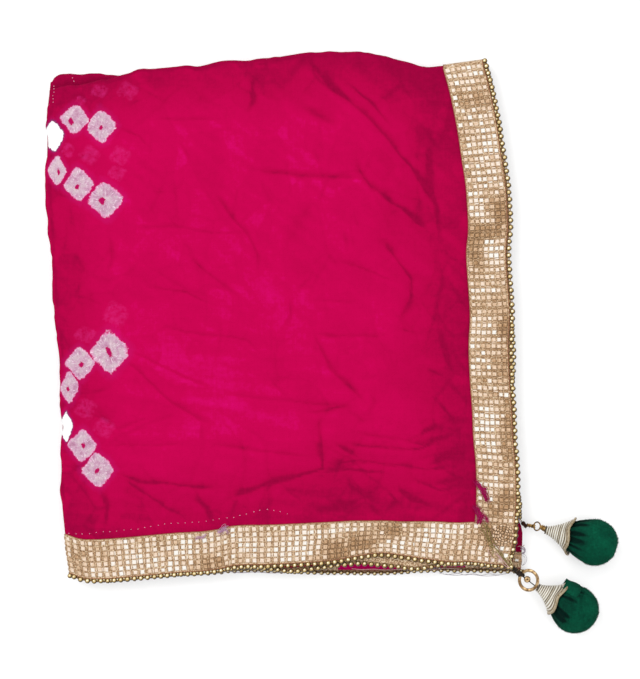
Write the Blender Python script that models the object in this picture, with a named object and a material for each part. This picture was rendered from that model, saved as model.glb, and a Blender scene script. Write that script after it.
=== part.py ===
"""Folded bandhani dupatta: one long cloth folded to eight layers, foil lace
border on its four edges, bead edging outside the lace, and two velvet tassels
at the loose corners.  Metres, +Z up, resting on Z = 0."""
import math

import bpy
import bmesh
from mathutils import Vector

# sizes
MM = 0.001
UNIT = 0.95 * MM          # one outline unit on the cloth
ORIGIN_X = 331.0          # outline unit at X = 0
ORIGIN_Y = 341.56         # outline unit at Y = 0

CLOTH_T = 1.0 * MM        # thickness of the sheet
LACE_T = 0.6 * MM         # thickness of the lace ribbon
LACE_W = 37.0 * MM        # width of the lace ribbon
CLEAR = 0.3 * MM          # clearance between separate pieces
BEAD_W = 4.2 * MM         # width of the bead edging
BEAD_H = 2.2 * MM         # height of the bead edging
MITRE_GAP = 0.5 * MM      # gap along the mitred lace corners

PITCH_BODY = 4.9 * MM     # height from one double layer to the next
PITCH_LACE = 5.2 * MM     # the same where lace lies between them
HALF_BODY = 1.15 * MM     # half height between the two sheets of a layer
HALF_FOLD = 1.5 * MM      # the same at the long left fold
HALF_LACE = 0.95 * MM     # the same under the lace
STRIPS = 4                # double layers in the stack
PUFF = 0.20               # rise of the loose middle, share of the height

MARGIN = 42.0             # outline units from the edge to the lace seam
BLEND = 60.0              # outline units over which the stack changes height

SEAM_U = 0.905            # share of the width where the laced margin starts
SEAM_V = 0.09             # share of the length covered by the laced end
COLS_UP = 18              # columns across the loose part of an upper sheet
COLS_DOWN = 6             # columns across the loose part of a lower sheet
FOLD_STEPS = 4            # facets round the long left fold
BEND_STEPS = 4            # facets round each cross fold
ROWS_TOP = 22             # rows along the loose part of the top layer
ROWS_REST = 6             # rows along the loose part of each hidden layer

# outline of the folded stack, in outline units
# left fold: (y, x)
LEFT_FOLD = [
    (60, 52), (84, 50), (96, 48.5), (110, 47), (130, 46), (150, 48), (170, 45),
    (190, 45), (210, 46), (230, 48), (250, 50), (270, 52), (300, 53), (330, 55),
    (350, 58), (370, 59), (400, 60), (430, 62), (450, 60), (470, 61), (490, 60),
    (510, 62), (530, 64), (550, 66), (570, 69), (590, 71),
]
# outer line of the bead edging down the right side: (y, x)
RIGHT_BEADS = [
    (50, 482), (61, 484), (83, 490), (101, 494), (127, 499), (155, 503), (181, 507),
    (208, 509), (229, 509.7), (250, 507.8), (275, 509), (303, 511), (317, 511.5),
    (345, 510.2), (384, 511.7), (411, 513.7), (439, 514.9), (466, 517.4), (507, 517.7),
    (524, 516.5), (542, 515), (554, 512), (567, 511), (590, 510),
]
# bead edging of the upper sheet along the bottom: (x, y)
BOTTOM_BEADS = [
    (60, 573), (71, 575.6), (84, 580.2), (96, 581), (123, 579.6), (151, 577),
    (179, 574.4), (206, 572.8), (220, 570.7), (234, 567.5), (267, 566.4), (301, 564.9),
    (333, 562.3), (358, 557.9), (383, 555), (402, 557.4), (428, 561.2), (455, 564),
    (468, 563.5), (493, 566.1), (511, 567), (530, 567.5),
]
# bead edging of the sheet under it: (x, y)
BOTTOM_SECOND = [
    (60, 572), (71, 574), (96, 579.5), (151, 575.8), (206, 572), (250, 567.5), (275, 569.5),
    (294, 571.2), (314, 568.8), (339, 565.3), (352, 563.7), (366, 563.7), (391, 566.3),
    (418, 569), (440, 565.5), (468, 563), (493, 565), (511, 566), (530, 566.5),
]
# bead edging of the lowest sheet: (x, y)
BOTTOM_LOWEST = [
    (60, 572), (71, 574), (96, 579), (151, 576.5), (190, 574.5), (212, 573.9), (231, 571.8),
    (264, 571.6), (297, 573), (345, 573.8), (390, 573.8), (423, 571.6), (471, 571.4),
    (507, 572.1), (540, 572.5),
]
# short end hidden inside the stack: (x, y)
BOTTOM_SHORT = [
    (60, 572), (71, 573), (100, 565), (160, 545), (230, 528), (300, 522), (400, 521),
    (470, 521), (520, 521.5), (540, 522),
]
# cross fold of the two upper layers: (x, y)
TOP_UPPER = [
    (40, 93), (50, 89), (60, 86), (75, 84.5), (86, 83), (97, 80), (109, 77), (125, 72.5),
    (140, 67), (155, 67), (170, 66), (185, 64), (200, 65), (215, 61), (230, 59),
    (260, 58), (290, 54), (320, 51), (365, 51), (380, 54), (395, 58), (410, 62),
    (425, 66), (440, 65), (455, 63), (470, 61), (485, 59), (500, 57.5),
]
# cross fold of the two lower layers: (x, y)
TOP_LOWER = [
    (40, 92), (49, 87), (53, 78), (58, 73.6), (65, 72), (80, 73), (95, 72), (110, 73),
    (125, 73.5), (140, 69), (170, 68), (200, 67), (230, 61.5), (260, 60), (290, 56),
    (320, 53.5), (365, 53.5), (395, 60), (425, 68), (455, 66), (485, 62), (500, 61),
]
FOLD_SETBACK = 4.9        # from the crest of a cross fold to its last straight row
INNER_SETBACK = 17.0      # hidden lower cross fold, back from the bottom beads
# sideways shift of the right edge, sheet by sheet: (y, shift)
SHIFT_NONE = [(40, 0), (600, 0)]
SHIFT_SECOND = [
    (80, 0), (120, -0.8), (315, -0.8), (338, 2.2), (370, 2.2), (392, -0.8), (485, -0.8),
    (502, 2.0), (512, 2.0), (528, -0.8), (600, -0.8),
]
SHIFT_LOWEST = [
    (80, 0), (120, -1), (490, -1), (510, 2.5), (527, 8), (540, 9.5), (553, 12), (567, 13.2),
    (600, 13.5),
]
SHIFT_SHORT = [(80, 0), (120, -1), (480, -1), (505, 2.5), (522, 3.0), (600, 3.0)]
# left edge shift of each double layer, at half its length
LEFT_SHIFT = {1: 0.0, 2: 1.2, 3: 0.8, 4: 1.5}
RIGHT_SAG = {1: 0.0, 2: -1.2, 3: -0.6, 4: 0.0}

# main creases: (depth share, half width, points)
CREASES = [
    (0.10, 10, [(307, 60), (333, 88), (373, 122), (413, 170), (436, 205)]),
    (0.09, 9, [(253, 170), (300, 176), (363, 178)]),
    (0.11, 10, [(353, 157), (387, 200), (432, 232)]),
    (0.10, 10, [(428, 143), (432, 190), (440, 240)]),
    (0.08, 9, [(213, 193), (250, 237), (258, 272)]),
    (0.09, 9, [(128, 360), (173, 403), (213, 423)]),
    (0.11, 11, [(227, 497), (300, 475), (322, 467), (321, 415)]),
    (0.10, 10, [(380, 237), (410, 285), (397, 323)]),
    (0.08, 9, [(115, 473), (180, 485), (220, 488)]),
    (0.08, 10, [(313, 333), (350, 387), (367, 403)]),
    (0.08, 9, [(265, 71), (252, 100), (243, 117)]),
    (0.09, 12, [(300, 107), (343, 128)]),
]

# tassels: balls and caps, outline units for x and y, metres for the rest
UPPER_BALL = {"x": 594.5, "y": 542.0, "radius": 21.7 * MM}
LOWER_BALL = {"x": 574.7, "y": 609.0, "radius": 22.3 * MM}
UPPER_TIP = {"x": 545.7, "y": 530.0, "z": 12.0 * MM}
LOWER_TIP = {"x": 537.3, "y": 586.9, "z": 21.5 * MM}
UPPER_CAP_LENGTH = 23.6 * MM
LOWER_CAP_LENGTH = 21.0 * MM
CAP_RIM = 16.0 * MM       # rim radius of the wound cap
CAP_NOSE = 3.8 * MM       # radius at the small end
CAP_WALL = 1.3 * MM
CAP_HOLE = 0.6 * MM       # thread hole in the nose
FLAT_DEPTH = 0.8 * MM     # how far a ball is pressed flat where it rests
ROUND_STEPS = 24


def curve(table, t):
    """Smooth graph through a short table."""
    if t <= table[0][0]:
        return table[0][1]
    if t >= table[-1][0]:
        return table[-1][1]
    i = 0
    while table[i + 1][0] < t:
        i += 1
    x0, y0 = table[i]
    x1, y1 = table[i + 1]
    span = x1 - x0
    m = (y1 - y0) / span
    if i > 0:
        before = (y0 - table[i - 1][1]) / (x0 - table[i - 1][0])
        m0 = 0.5 * (before + m)
    else:
        m0 = m
    if i + 2 < len(table):
        after = (table[i + 2][1] - y1) / (table[i + 2][0] - x1)
        m1 = 0.5 * (after + m)
    else:
        m1 = m
    s = (t - x0) / span
    a = 2 * s ** 3 - 3 * s ** 2 + 1
    b = s ** 3 - 2 * s ** 2 + s
    c = -2 * s ** 3 + 3 * s ** 2
    d = s ** 3 - s ** 2
    return a * y0 + b * span * m0 + c * y1 + d * span * m1


def smooth(t):
    t = min(max(t, 0.0), 1.0)
    return t * t * (3 - 2 * t)


def mix(a, b, t):
    return a + (b - a) * t


BEAD_BACK = (BEAD_W / 2 + CLEAR) / UNIT   # bead centre line to the cloth edge


def right_edge(y, shift):
    return curve(RIGHT_BEADS, y) - BEAD_BACK + curve(shift, y)


def left_edge(y):
    return curve(LEFT_FOLD, y) + 2.0


def bottom_graph(table):
    return lambda x: curve(table, x) - BEAD_BACK


def top_graph(table):
    return lambda x: curve(table, x) + FOLD_SETBACK


def hidden_bottom(x):
    return curve(BOTTOM_BEADS, x) - INNER_SETBACK


SHEETS = {
    (1, 1): (bottom_graph(BOTTOM_BEADS), top_graph(TOP_UPPER), SHIFT_NONE),
    (1, -1): (bottom_graph(BOTTOM_SECOND), top_graph(TOP_UPPER), SHIFT_SECOND),
    (2, 1): (hidden_bottom, top_graph(TOP_UPPER), SHIFT_NONE),
    (2, -1): (hidden_bottom, top_graph(TOP_UPPER), SHIFT_NONE),
    (3, 1): (hidden_bottom, top_graph(TOP_LOWER), SHIFT_NONE),
    (3, -1): (hidden_bottom, top_graph(TOP_LOWER), SHIFT_NONE),
    (4, 1): (bottom_graph(BOTTOM_LOWEST), top_graph(TOP_LOWER), SHIFT_LOWEST),
    (4, -1): (bottom_graph(BOTTOM_SHORT), top_graph(TOP_LOWER), SHIFT_SHORT),
}


def meet(x_of_y, y_of_x, y):
    """Corner where an upright edge crosses a cross edge."""
    for _ in range(12):
        x = x_of_y(y)
        y = y_of_x(x)
    return x, y


CORNERS = {}
for key, (low, high, shift) in SHEETS.items():
    right = (lambda s: lambda y: right_edge(y, s))(shift)
    CORNERS[key] = (
        meet(left_edge, low, 570), meet(right, low, 565),
        meet(left_edge, high, 85), meet(right, high, 62),
    )


def sheet_point(strip, side, u, v):
    """Outline position on a sheet; u runs left to right, v bottom to top."""
    low, high, shift = SHEETS[(strip, side)]
    bl, br, tl, tr = CORNERS[(strip, side)]
    y_left = mix(bl[1], tl[1], v)
    y_right = mix(br[1], tr[1], v)
    swell = math.sin(math.pi * v)
    left = (left_edge(y_left) + LEFT_SHIFT[strip] * swell, y_left)
    right = (right_edge(y_right, shift) + RIGHT_SAG[strip] * swell, y_right)
    x_low = mix(bl[0], br[0], u)
    x_high = mix(tl[0], tr[0], u)
    bottom = (x_low, low(x_low))
    top = (x_high, high(x_high))
    point = []
    for i in (0, 1):
        value = mix(bottom[i], top[i], v) + mix(left[i], right[i], u)
        value -= mix(mix(bl[i], br[i], u), mix(tl[i], tr[i], u), v)
        point.append(value)
    return point


def seam_weight(x, y):
    """1 on the laced margin, 0 over the loose middle."""
    from_right = right_edge(y, SHIFT_NONE) - x
    from_bottom = curve(BOTTOM_BEADS, x) - BEAD_BACK - y
    near = min(from_right, from_bottom)
    return smooth(1 - (near - MARGIN) / BLEND)


def crease_depth(x, y):
    total = 0.0
    for depth, width, points in CREASES:
        best = 1e9
        for (ax, ay), (bx, by) in zip(points, points[1:]):
            dx, dy = bx - ax, by - ay
            t = ((x - ax) * dx + (y - ay) * dy) / (dx * dx + dy * dy)
            t = min(max(t, 0.0), 1.0)
            best = min(best, math.hypot(x - ax - t * dx, y - ay - t * dy))
        total += depth * math.exp(-(best / width) ** 2)
    return min(total, 0.17)


def levels(x, y):
    """Half gap, pitch, lace allowance and height factor at an outline position."""
    seam = seam_weight(x, y)
    from_left = x - left_edge(y)
    from_top = y - curve(TOP_UPPER, x)
    fold = smooth(1 - from_left / 40.0)
    half = mix(mix(HALF_BODY, HALF_FOLD, fold), HALF_LACE, seam)
    pitch = mix(PITCH_BODY, PITCH_LACE, seam)
    lace = (CLEAR + LACE_T) * seam
    loose = (1 - seam) * smooth(from_left / 60.0) * smooth(from_top / 60.0)
    wave = 0.03 * math.sin(x / 37.0 + 1.1) * math.sin(y / 43.0 + 0.4)
    factor = 1 + PUFF * loose + wave * (0.35 + 0.65 * loose) - crease_depth(x, y) * loose
    return half, pitch, lace, factor


def place(x, y, z):
    return Vector(((x - ORIGIN_X) * UNIT, (ORIGIN_Y - y) * UNIT, z))


def strip_frame(strip, x, y):
    half, pitch, lace = levels(x, y)[:3]
    low = half + CLOTH_T / 2 + lace
    return low + (STRIPS - strip) * pitch


# a station is (strip, v, bend angle or None)
def stations():
    rows = []
    for strip in (1, 2, 3, 4):
        count = ROWS_TOP if strip == 1 else ROWS_REST
        along = [0.0, SEAM_V / 2] + [mix(SEAM_V, 1, i / count) for i in range(count + 1)]
        if strip % 2 == 0:
            along.reverse()
        for v in along:
            rows.append((strip, v, None))
        if strip < 4:
            for i in range(1, BEND_STEPS):
                turn = math.pi / 2 - math.pi * i / BEND_STEPS
                rows.append((strip, v, turn if strip % 2 else -turn))
    return rows


def surface(station, side, u, offset, reach=0.0, drop=0.0, tuck=None):
    """A point of a sheet: offset is measured from the middle of the double layer
    towards its upper sheet, reach to the right, drop towards the bottom edge,
    tuck the angle round the long left fold."""
    strip, v, turn = station
    x, y = sheet_point(strip, side, u, v)
    half, pitch = levels(x, y)[:2]
    centre = strip_frame(strip, x, y)
    if tuck is None:
        along = (half + offset) if side > 0 else -(half + offset)
        sideways = 0.0
    else:
        along = (half + offset) * math.cos(tuck)
        sideways = -(half + offset) * math.sin(tuck)
    if turn is None:
        facing = 1 if strip % 2 else -1
        z = centre + facing * along
        dy = 0.0
    else:
        middle = centre - pitch / 2
        radius = pitch / 2 + along if strip % 2 else along - pitch / 2
        z = middle + radius * math.sin(turn)
        dy = radius * math.cos(turn)
    px = x + (sideways + reach) / UNIT
    py = y - (dy - drop) / UNIT
    factor = levels(px, py)[3]
    return place(px, py, max(z * factor, 0.0))


def make_material(name, colour, roughness, metallic=0.0):
    material = bpy.data.materials.new(name)
    material.use_nodes = True
    shader = material.node_tree.nodes["Principled BSDF"]
    shader.inputs["Base Color"].default_value = (*colour, 1.0)
    shader.inputs["Roughness"].default_value = roughness
    shader.inputs["Metallic"].default_value = metallic
    material.diffuse_color = (*colour, 1.0)
    return material


def add_body(name, points, faces, material, soft=True):
    mesh = bpy.data.meshes.new(name)
    mesh.from_pydata([tuple(p) for p in points], [], faces)
    body = bmesh.new()
    body.from_mesh(mesh)
    bmesh.ops.remove_doubles(body, verts=body.verts, dist=0.00001)
    bmesh.ops.recalc_face_normals(body, faces=body.faces)
    bmesh.ops.triangulate(body, faces=body.faces)
    body.to_mesh(mesh)
    body.free()
    mesh.polygons.foreach_set("use_smooth", [soft] * len(mesh.polygons))
    mesh.materials.append(material)
    item = bpy.data.objects.new(name, mesh)
    bpy.context.scene.collection.objects.link(item)
    return item


def skin(name, rings, material, capped=True, closed=False, pairs=None, soft=True):
    """Closed body through a row of equal rings of points."""
    size = len(rings[0])
    points = [p for ring in rings for p in ring]
    faces = []
    count = len(rings)
    for r in range(count if closed else count - 1):
        a = r * size
        b = ((r + 1) % count) * size
        for i in range(size):
            j = (i + 1) % size
            faces.append((a + i, a + j, b + j, b + i))
    if capped and not closed:
        last = (count - 1) * size
        if pairs:
            for i in range(size // 2 - 1):
                k = size - 1 - i
                faces.append((i, i + 1, k - 1, k))
                faces.append((last + i, last + i + 1, last + k - 1, last + k))
        else:
            faces.append(tuple(range(size)))
            faces.append(tuple(last + i for i in range(size)))
    return add_body(name, points, faces, material, soft)


def across():
    """Steps round one double layer: (side, u, tuck)."""
    steps = [(1, 1.0, None), (1, (1 + SEAM_U) / 2, None)]
    for i in range(COLS_UP + 1):
        steps.append((1, SEAM_U * (1 - i / COLS_UP), None))
    for i in range(1, FOLD_STEPS):
        steps.append((1, 0.0, math.pi * i / FOLD_STEPS))
    for i in range(COLS_DOWN + 1):
        steps.append((-1, SEAM_U * i / COLS_DOWN, None))
    steps.append((-1, (1 + SEAM_U) / 2, None))
    steps.append((-1, 1.0, None))
    return steps


def make_cloth(material):
    rings = []
    steps = across()
    for station in stations():
        outer = [surface(station, s, u, CLOTH_T / 2, tuck=t) for s, u, t in steps]
        inner = [surface(station, s, u, -CLOTH_T / 2, tuck=t) for s, u, t in steps]
        rings.append(outer + inner[::-1])
    return skin("bandhani_cloth", rings, material, pairs=True)


def sheet_width(strip, side, v):
    ax, ay = sheet_point(strip, side, 0.0, v)
    bx, by = sheet_point(strip, side, 1.0, v)
    return math.hypot(bx - ax, by - ay) * UNIT


def sheet_length(strip, side, u):
    ax, ay = sheet_point(strip, side, u, 0.0)
    bx, by = sheet_point(strip, side, u, 1.0)
    return math.hypot(bx - ax, by - ay) * UNIT


LACE_IN = CLOTH_T / 2 + CLEAR
LACE_OUT = CLOTH_T / 2 + CLEAR + LACE_T
ACROSS_LACE = (0.0, 0.5, 1.0)


def make_side_lace(name, side, material):
    """Lace down one long edge; its two ends are mitred."""
    rings = []
    for strip, v, turn in stations():
        outer = []
        inner = []
        for share in ACROSS_LACE:
            back = share * LACE_W
            start = 0.0
            if strip in (1, 4) and turn is None:
                start = (back + MITRE_GAP) / sheet_length(strip, side, 1.0)
            w = v if v >= SEAM_V or not start else mix(start, SEAM_V, v / SEAM_V)
            u = 1 - back / sheet_width(strip, side, w)
            station = (strip, w, turn)
            outer.append(surface(station, side, u, LACE_OUT))
            inner.append(surface(station, side, u, LACE_IN))
        rings.append(outer + inner[::-1])
    return skin(name, rings, material, pairs=True)


def make_end_lace(name, strip, material):
    """Lace along one short end, round the left fold and back."""
    rings = []
    for side, u, tuck in across():
        outer = []
        inner = []
        for share in ACROSS_LACE:
            up = share * LACE_W
            start = (up + MITRE_GAP) / sheet_width(strip, side, 0.0)
            w = u
            if u > SEAM_U:
                w = mix(SEAM_U, 1 - start, (u - SEAM_U) / (1 - SEAM_U))
            v = up / sheet_length(strip, side, w)
            station = (strip, v, None)
            outer.append(surface(station, side, w, LACE_OUT, tuck=tuck))
            inner.append(surface(station, side, w, LACE_IN, tuck=tuck))
        rings.append(outer + inner[::-1])
    return skin(name, rings, material, pairs=True)


# section of the bead edging: (share of half width, share of half height)
EDGING = [(1.0, 0.0), (0.55, 1.0), (-0.55, 1.0), (-1.0, 0.0), (-0.55, -1.0), (0.55, -1.0)]


def make_side_beads(name, side, material, stop_early):
    rings = []
    for strip, v, turn in stations():
        if strip == 4 and stop_early and v < 0.05:
            continue
        ring = []
        for wide, high in EDGING:
            reach = CLEAR + BEAD_W / 2 * (1 + wide)
            offset = CLEAR + BEAD_H / 2 * high
            ring.append(surface((strip, v, turn), side, 1.0, offset, reach=reach))
        rings.append(ring)
    return skin(name, rings, material)


def make_end_beads(name, strip, material):
    rings = []
    steps = across()
    for index, (side, u, tuck) in enumerate(steps):
        ring = []
        extra = 0.0
        if index in (0, len(steps) - 1):
            extra = CLEAR + BEAD_W
        for wide, high in EDGING:
            drop = CLEAR + BEAD_W / 2 * (1 + wide)
            offset = CLEAR + BEAD_H / 2 * high
            station = (strip, 0.0, None)
            ring.append(surface(station, side, u, offset, reach=extra, drop=drop, tuck=tuck))
        rings.append(ring)
    return skin(name, rings, material)


def basis(axis):
    axis = axis.normalized()
    side = axis.cross(Vector((0, 0, 1))).normalized()
    return axis, side, side.cross(axis)


def turned(name, origin, axis, profile, material, closed=False, floor=False):
    """Body of revolution from (distance along the axis, radius)."""
    axis, side, up = basis(axis)
    rings = []
    for along, radius in profile:
        ring = []
        for i in range(ROUND_STEPS):
            angle = 2 * math.pi * (i + 0.5) / ROUND_STEPS
            spoke = side * math.cos(angle) + up * math.sin(angle)
            point = origin + axis * along + spoke * radius
            if floor and point.z < 0:
                point.z = 0.0
            ring.append(point)
        rings.append(ring)
    return skin(name, rings, material, closed=closed)


def cap_radius(share):
    return CAP_NOSE + (CAP_RIM - CAP_NOSE) * share ** 1.45


def make_cap(name, tip, axis, length, material):
    """Wound flared cap with a thread hole at its nose."""
    nose = [(0.1 * length, CAP_HOLE), (0.0, CAP_HOLE), (0.0, 0.8 * CAP_NOSE)]
    outer = [(s * length, cap_radius(s)) for s in (0.04, 0.2, 0.4, 0.6, 0.8, 1.0)]
    rim = [(length + 0.9 * MM, CAP_RIM - 0.4 * MM)]
    inner = [(s * length, cap_radius(s) - CAP_WALL) for s in (1.0, 0.8, 0.6, 0.4, 0.2)]
    return turned(name, tip, axis, nose + outer + rim + inner, material, closed=True)


def make_ball(name, centre, radius, axis, reach, length, material):
    """Stuffed velvet ball, drawn together into the cap; axis points to the tip."""
    profile = []
    for i in range(1, 11):
        angle = math.pi * (0.02 + 0.60 * (i - 1) / 9)
        profile.append((-radius * math.cos(angle), radius * math.sin(angle)))
    rim = reach - length
    for share in (0.97, 0.7, 0.45, 0.25):
        fit = cap_radius(share) - CAP_WALL - 0.6 * MM
        profile.append((rim + length * (1 - share), fit))
    return turned(name, centre, axis, profile, material, floor=True)


def ring_body(name, centre, normal, major, wide, thick, material, stretch=1.0, steps=24):
    """Ring with an oval section; stretch lengthens it along its second direction."""
    normal = normal.normalized()
    first = normal.cross(Vector((0, 1, 0))).normalized()
    second = normal.cross(first)
    rings = []
    for i in range(steps):
        angle = 2 * math.pi * i / steps
        spoke = first * math.cos(angle) + second * (math.sin(angle) * stretch)
        out = first * math.cos(angle) + second * math.sin(angle)
        ring = []
        for j in range(8):
            turn = 2 * math.pi * j / 8
            p = centre + spoke * major + out * (wide * math.cos(turn))
            ring.append(p + normal * (thick * math.sin(turn)))
        rings.append(ring)
    return skin(name, rings, material, closed=True)


def lump(name, centre, axis, half_long, half_wide, material, half_high=None):
    """Small rounded knot or bead."""
    axis, side, up = basis(axis)
    high = half_high or half_wide
    rings = []
    for i in range(1, 8):
        angle = math.pi * i / 8
        ring = []
        for j in range(12):
            turn = 2 * math.pi * j / 12
            p = centre - axis * (half_long * math.cos(angle))
            p = p + side * (half_wide * math.sin(angle) * math.cos(turn))
            ring.append(p + up * (high * math.sin(angle) * math.sin(turn)))
        rings.append(ring)
    return skin(name, rings, material)


def make_tassels(paint):
    for label, ball, tip, length in (
        ("upper", UPPER_BALL, UPPER_TIP, UPPER_CAP_LENGTH),
        ("lower", LOWER_BALL, LOWER_TIP, LOWER_CAP_LENGTH),
    ):
        centre = place(ball["x"], ball["y"], ball["radius"] - FLAT_DEPTH)
        nose = place(tip["x"], tip["y"], tip["z"])
        axis = nose - centre
        reach = axis.length
        make_cap(label + "_tassel_cap", nose, -axis, length, paint[label + "_cap"])
        make_ball(label + "_tassel_ball", centre, ball["radius"], axis, reach, length,
                  paint[label + "_ball"])

    # lower tassel: knot at the corner, thread loop, flat ring and the bead in it
    ring_centre = place(528.3, 580.0, 21.0 * MM)
    tilt = Vector((-math.sin(math.radians(24)), 0, math.cos(math.radians(24))))
    ring_body("lower_tassel_ring", ring_centre, tilt, 9.3 * MM, 1.6 * MM, 0.9 * MM,
              paint["lower_ring"])
    lump("lower_tassel_bead", place(527.0, 579.05, 20.45 * MM), Vector((1, 0.4, 0)),
         3.3 * MM, 3.3 * MM, paint["lower_bead"])
    loop_centre = place(520.8, 574.2, 18.0 * MM)
    loop_normal = Vector((0.55, 0.81, 0.24))
    ring_body("lower_tassel_loop", loop_centre, loop_normal, 3.6 * MM, 0.8 * MM, 0.8 * MM,
              paint["lower_loop"], steps=16)
    lump("lower_tassel_knot", place(515.2, 570.6, 18.4 * MM), Vector((0.81, -0.58, 0)),
         1.7 * MM, 2.5 * MM, paint["lower_knot"], half_high=2.2 * MM)

    # upper tassel: knot at the corner, twisted link and wire loop
    lump("upper_tassel_knot", place(525.2, 525.0, 5.9 * MM), Vector((1, -0.3, 0.2)),
         3.95 * MM, 3.6 * MM, paint["upper_knot"], half_high=2.8 * MM)
    lump("upper_tassel_link", place(532.8, 526.8, 8.0 * MM), Vector((1, -0.1, 0.36)),
         4.05 * MM, 1.8 * MM, paint["upper_link"])
    wire_centre = place(541.2, 528.4, 10.9 * MM)
    wire_normal = Vector((-0.35, 0.1, 1.0))
    ring_body("upper_tassel_wire", wire_centre, wire_normal, 3.7 * MM, 0.7 * MM, 0.7 * MM,
              paint["upper_wire"], steps=16)


def main():
    for item in list(bpy.data.objects):
        bpy.data.objects.remove(item)

    pink = (0.58, 0.003, 0.085)
    gold = (0.62, 0.42, 0.20)
    green = (0.004, 0.075, 0.035)
    make_cloth(make_material("cloth_pink", pink, 0.7))
    for label, side in (("upper", 1), ("under", -1)):
        lace = make_material("lace_side_" + label, gold, 0.35, 0.7)
        make_side_lace("lace_side_" + label, side, lace)
        bead = make_material("beads_side_" + label, gold, 0.3, 0.9)
        make_side_beads("beads_side_" + label, side, bead, side > 0)
    for label, strip in (("top", 1), ("lowest", 4)):
        lace = make_material("lace_end_" + label, gold, 0.35, 0.7)
        make_end_lace("lace_end_" + label, strip, lace)
        bead = make_material("beads_end_" + label, gold, 0.3, 0.9)
        make_end_beads("beads_end_" + label, strip, bead)

    paint = {}
    for label in ("upper", "lower"):
        paint[label + "_cap"] = make_material(label + "_cap_gold", (0.55, 0.47, 0.33), 0.45, 0.6)
        paint[label + "_ball"] = make_material(label + "_ball_velvet", green, 0.85)
    paint["lower_ring"] = make_material("lower_ring_gold", (0.45, 0.28, 0.14), 0.3, 0.9)
    paint["lower_bead"] = make_material("lower_bead_gold", gold, 0.3, 0.9)
    paint["lower_loop"] = make_material("lower_loop_thread", (0.16, 0.08, 0.05), 0.8)
    paint["lower_knot"] = make_material("lower_knot_thread", (0.16, 0.08, 0.05), 0.8)
    paint["upper_knot"] = make_material("upper_knot_thread", (0.16, 0.08, 0.05), 0.8)
    paint["upper_link"] = make_material("upper_link_gold", gold, 0.4, 0.7)
    paint["upper_wire"] = make_material("upper_wire_gold", gold, 0.3, 0.9)
    make_tassels(paint)


main()
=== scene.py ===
"""Folded bandhani dupatta: the looks of the cloth, its foil lace and bead
edging, and the two velvet tassels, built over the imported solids."""

import math
import random

import bpy
import numpy as np
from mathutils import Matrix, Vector


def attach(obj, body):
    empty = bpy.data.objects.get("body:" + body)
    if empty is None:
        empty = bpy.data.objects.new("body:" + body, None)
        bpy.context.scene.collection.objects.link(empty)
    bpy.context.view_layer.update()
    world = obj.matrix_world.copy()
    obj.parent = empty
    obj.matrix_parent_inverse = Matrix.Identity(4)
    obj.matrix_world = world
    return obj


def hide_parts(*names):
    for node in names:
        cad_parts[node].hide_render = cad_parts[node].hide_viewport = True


bl_info = {
    "name": "Folded Bandhani Dupatta",
    "version": (1, 0, 0),
    "blender": (4, 5, 0),
    "location": "3D View > Sidebar > Dupatta",
    "description": "Folded tie-dyed cloth with foil lace, bead edging and velvet tassels",
    "category": "Add Mesh",
}

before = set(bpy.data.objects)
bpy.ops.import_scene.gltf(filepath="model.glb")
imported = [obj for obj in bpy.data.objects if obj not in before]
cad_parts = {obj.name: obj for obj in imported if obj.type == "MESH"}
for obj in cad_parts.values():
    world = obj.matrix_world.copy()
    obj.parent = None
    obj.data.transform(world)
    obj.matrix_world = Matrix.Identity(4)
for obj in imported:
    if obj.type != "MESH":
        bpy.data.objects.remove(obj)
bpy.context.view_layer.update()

# sizes shared with the solids, in metres
MM = 0.001
UNIT = 0.95 * MM              # one outline unit
ORIGIN_X = 331.0              # outline unit at X = 0
ORIGIN_Y = 341.56             # outline unit at Y = 0
CLOTH_T = 1.0 * MM
LACE_T = 0.6 * MM
LACE_W = 37.0 * MM
SIDE_LACE = 1.93              # cut lengths of the lace on a long side and a short end
END_LACE_LENGTH = 0.87
CLEAR = 0.3 * MM
BEAD_W = 4.2 * MM
PITCH_BODY = 4.9 * MM
PITCH_LACE = 5.2 * MM
HALF_BODY = 1.15 * MM
HALF_FOLD = 1.5 * MM
HALF_LACE = 0.95 * MM
STRIPS = 4
PUFF = 0.20                   # extra height of the loose middle, share of the height
MARGIN = 42.0                 # outline units from the edge that stay at lace height
BLEND = 60.0                  # and over which the stack falls to cloth height
SEAM_V = 0.09                 # share of a strip over which its lace is mitred
LACE_IN = CLOTH_T / 2 + CLEAR
LACE_OUT = LACE_IN + LACE_T
UPPER, UNDER = 1, -1          # the two sheets of a double layer
END_LACE = (1, 4)             # strips whose v = 0 end is edged with lace

# outline, in outline units; left fold: (y, x)
LEFT_FOLD = [
    (60, 52), (84, 50), (96, 48.5), (110, 47), (130, 46), (150, 48), (170, 45),
    (190, 45), (210, 46), (230, 48), (250, 50), (270, 52), (300, 53), (330, 55),
    (350, 58), (370, 59), (400, 60), (430, 62), (450, 60), (470, 61), (490, 60),
    (510, 62), (530, 64), (550, 66), (570, 69), (590, 71),
]
# bead line down the right side: (y, x)
RIGHT_BEADS = [
    (50, 482), (61, 484), (83, 490), (101, 494), (127, 499), (155, 503), (181, 507),
    (208, 509), (229, 509.7), (250, 507.8), (275, 509), (303, 511), (317, 511.5),
    (345, 510.2), (384, 511.7), (411, 513.7), (439, 514.9), (466, 517.4), (507, 517.7),
    (524, 516.5), (542, 515), (554, 512), (567, 511), (590, 510),
]
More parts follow.
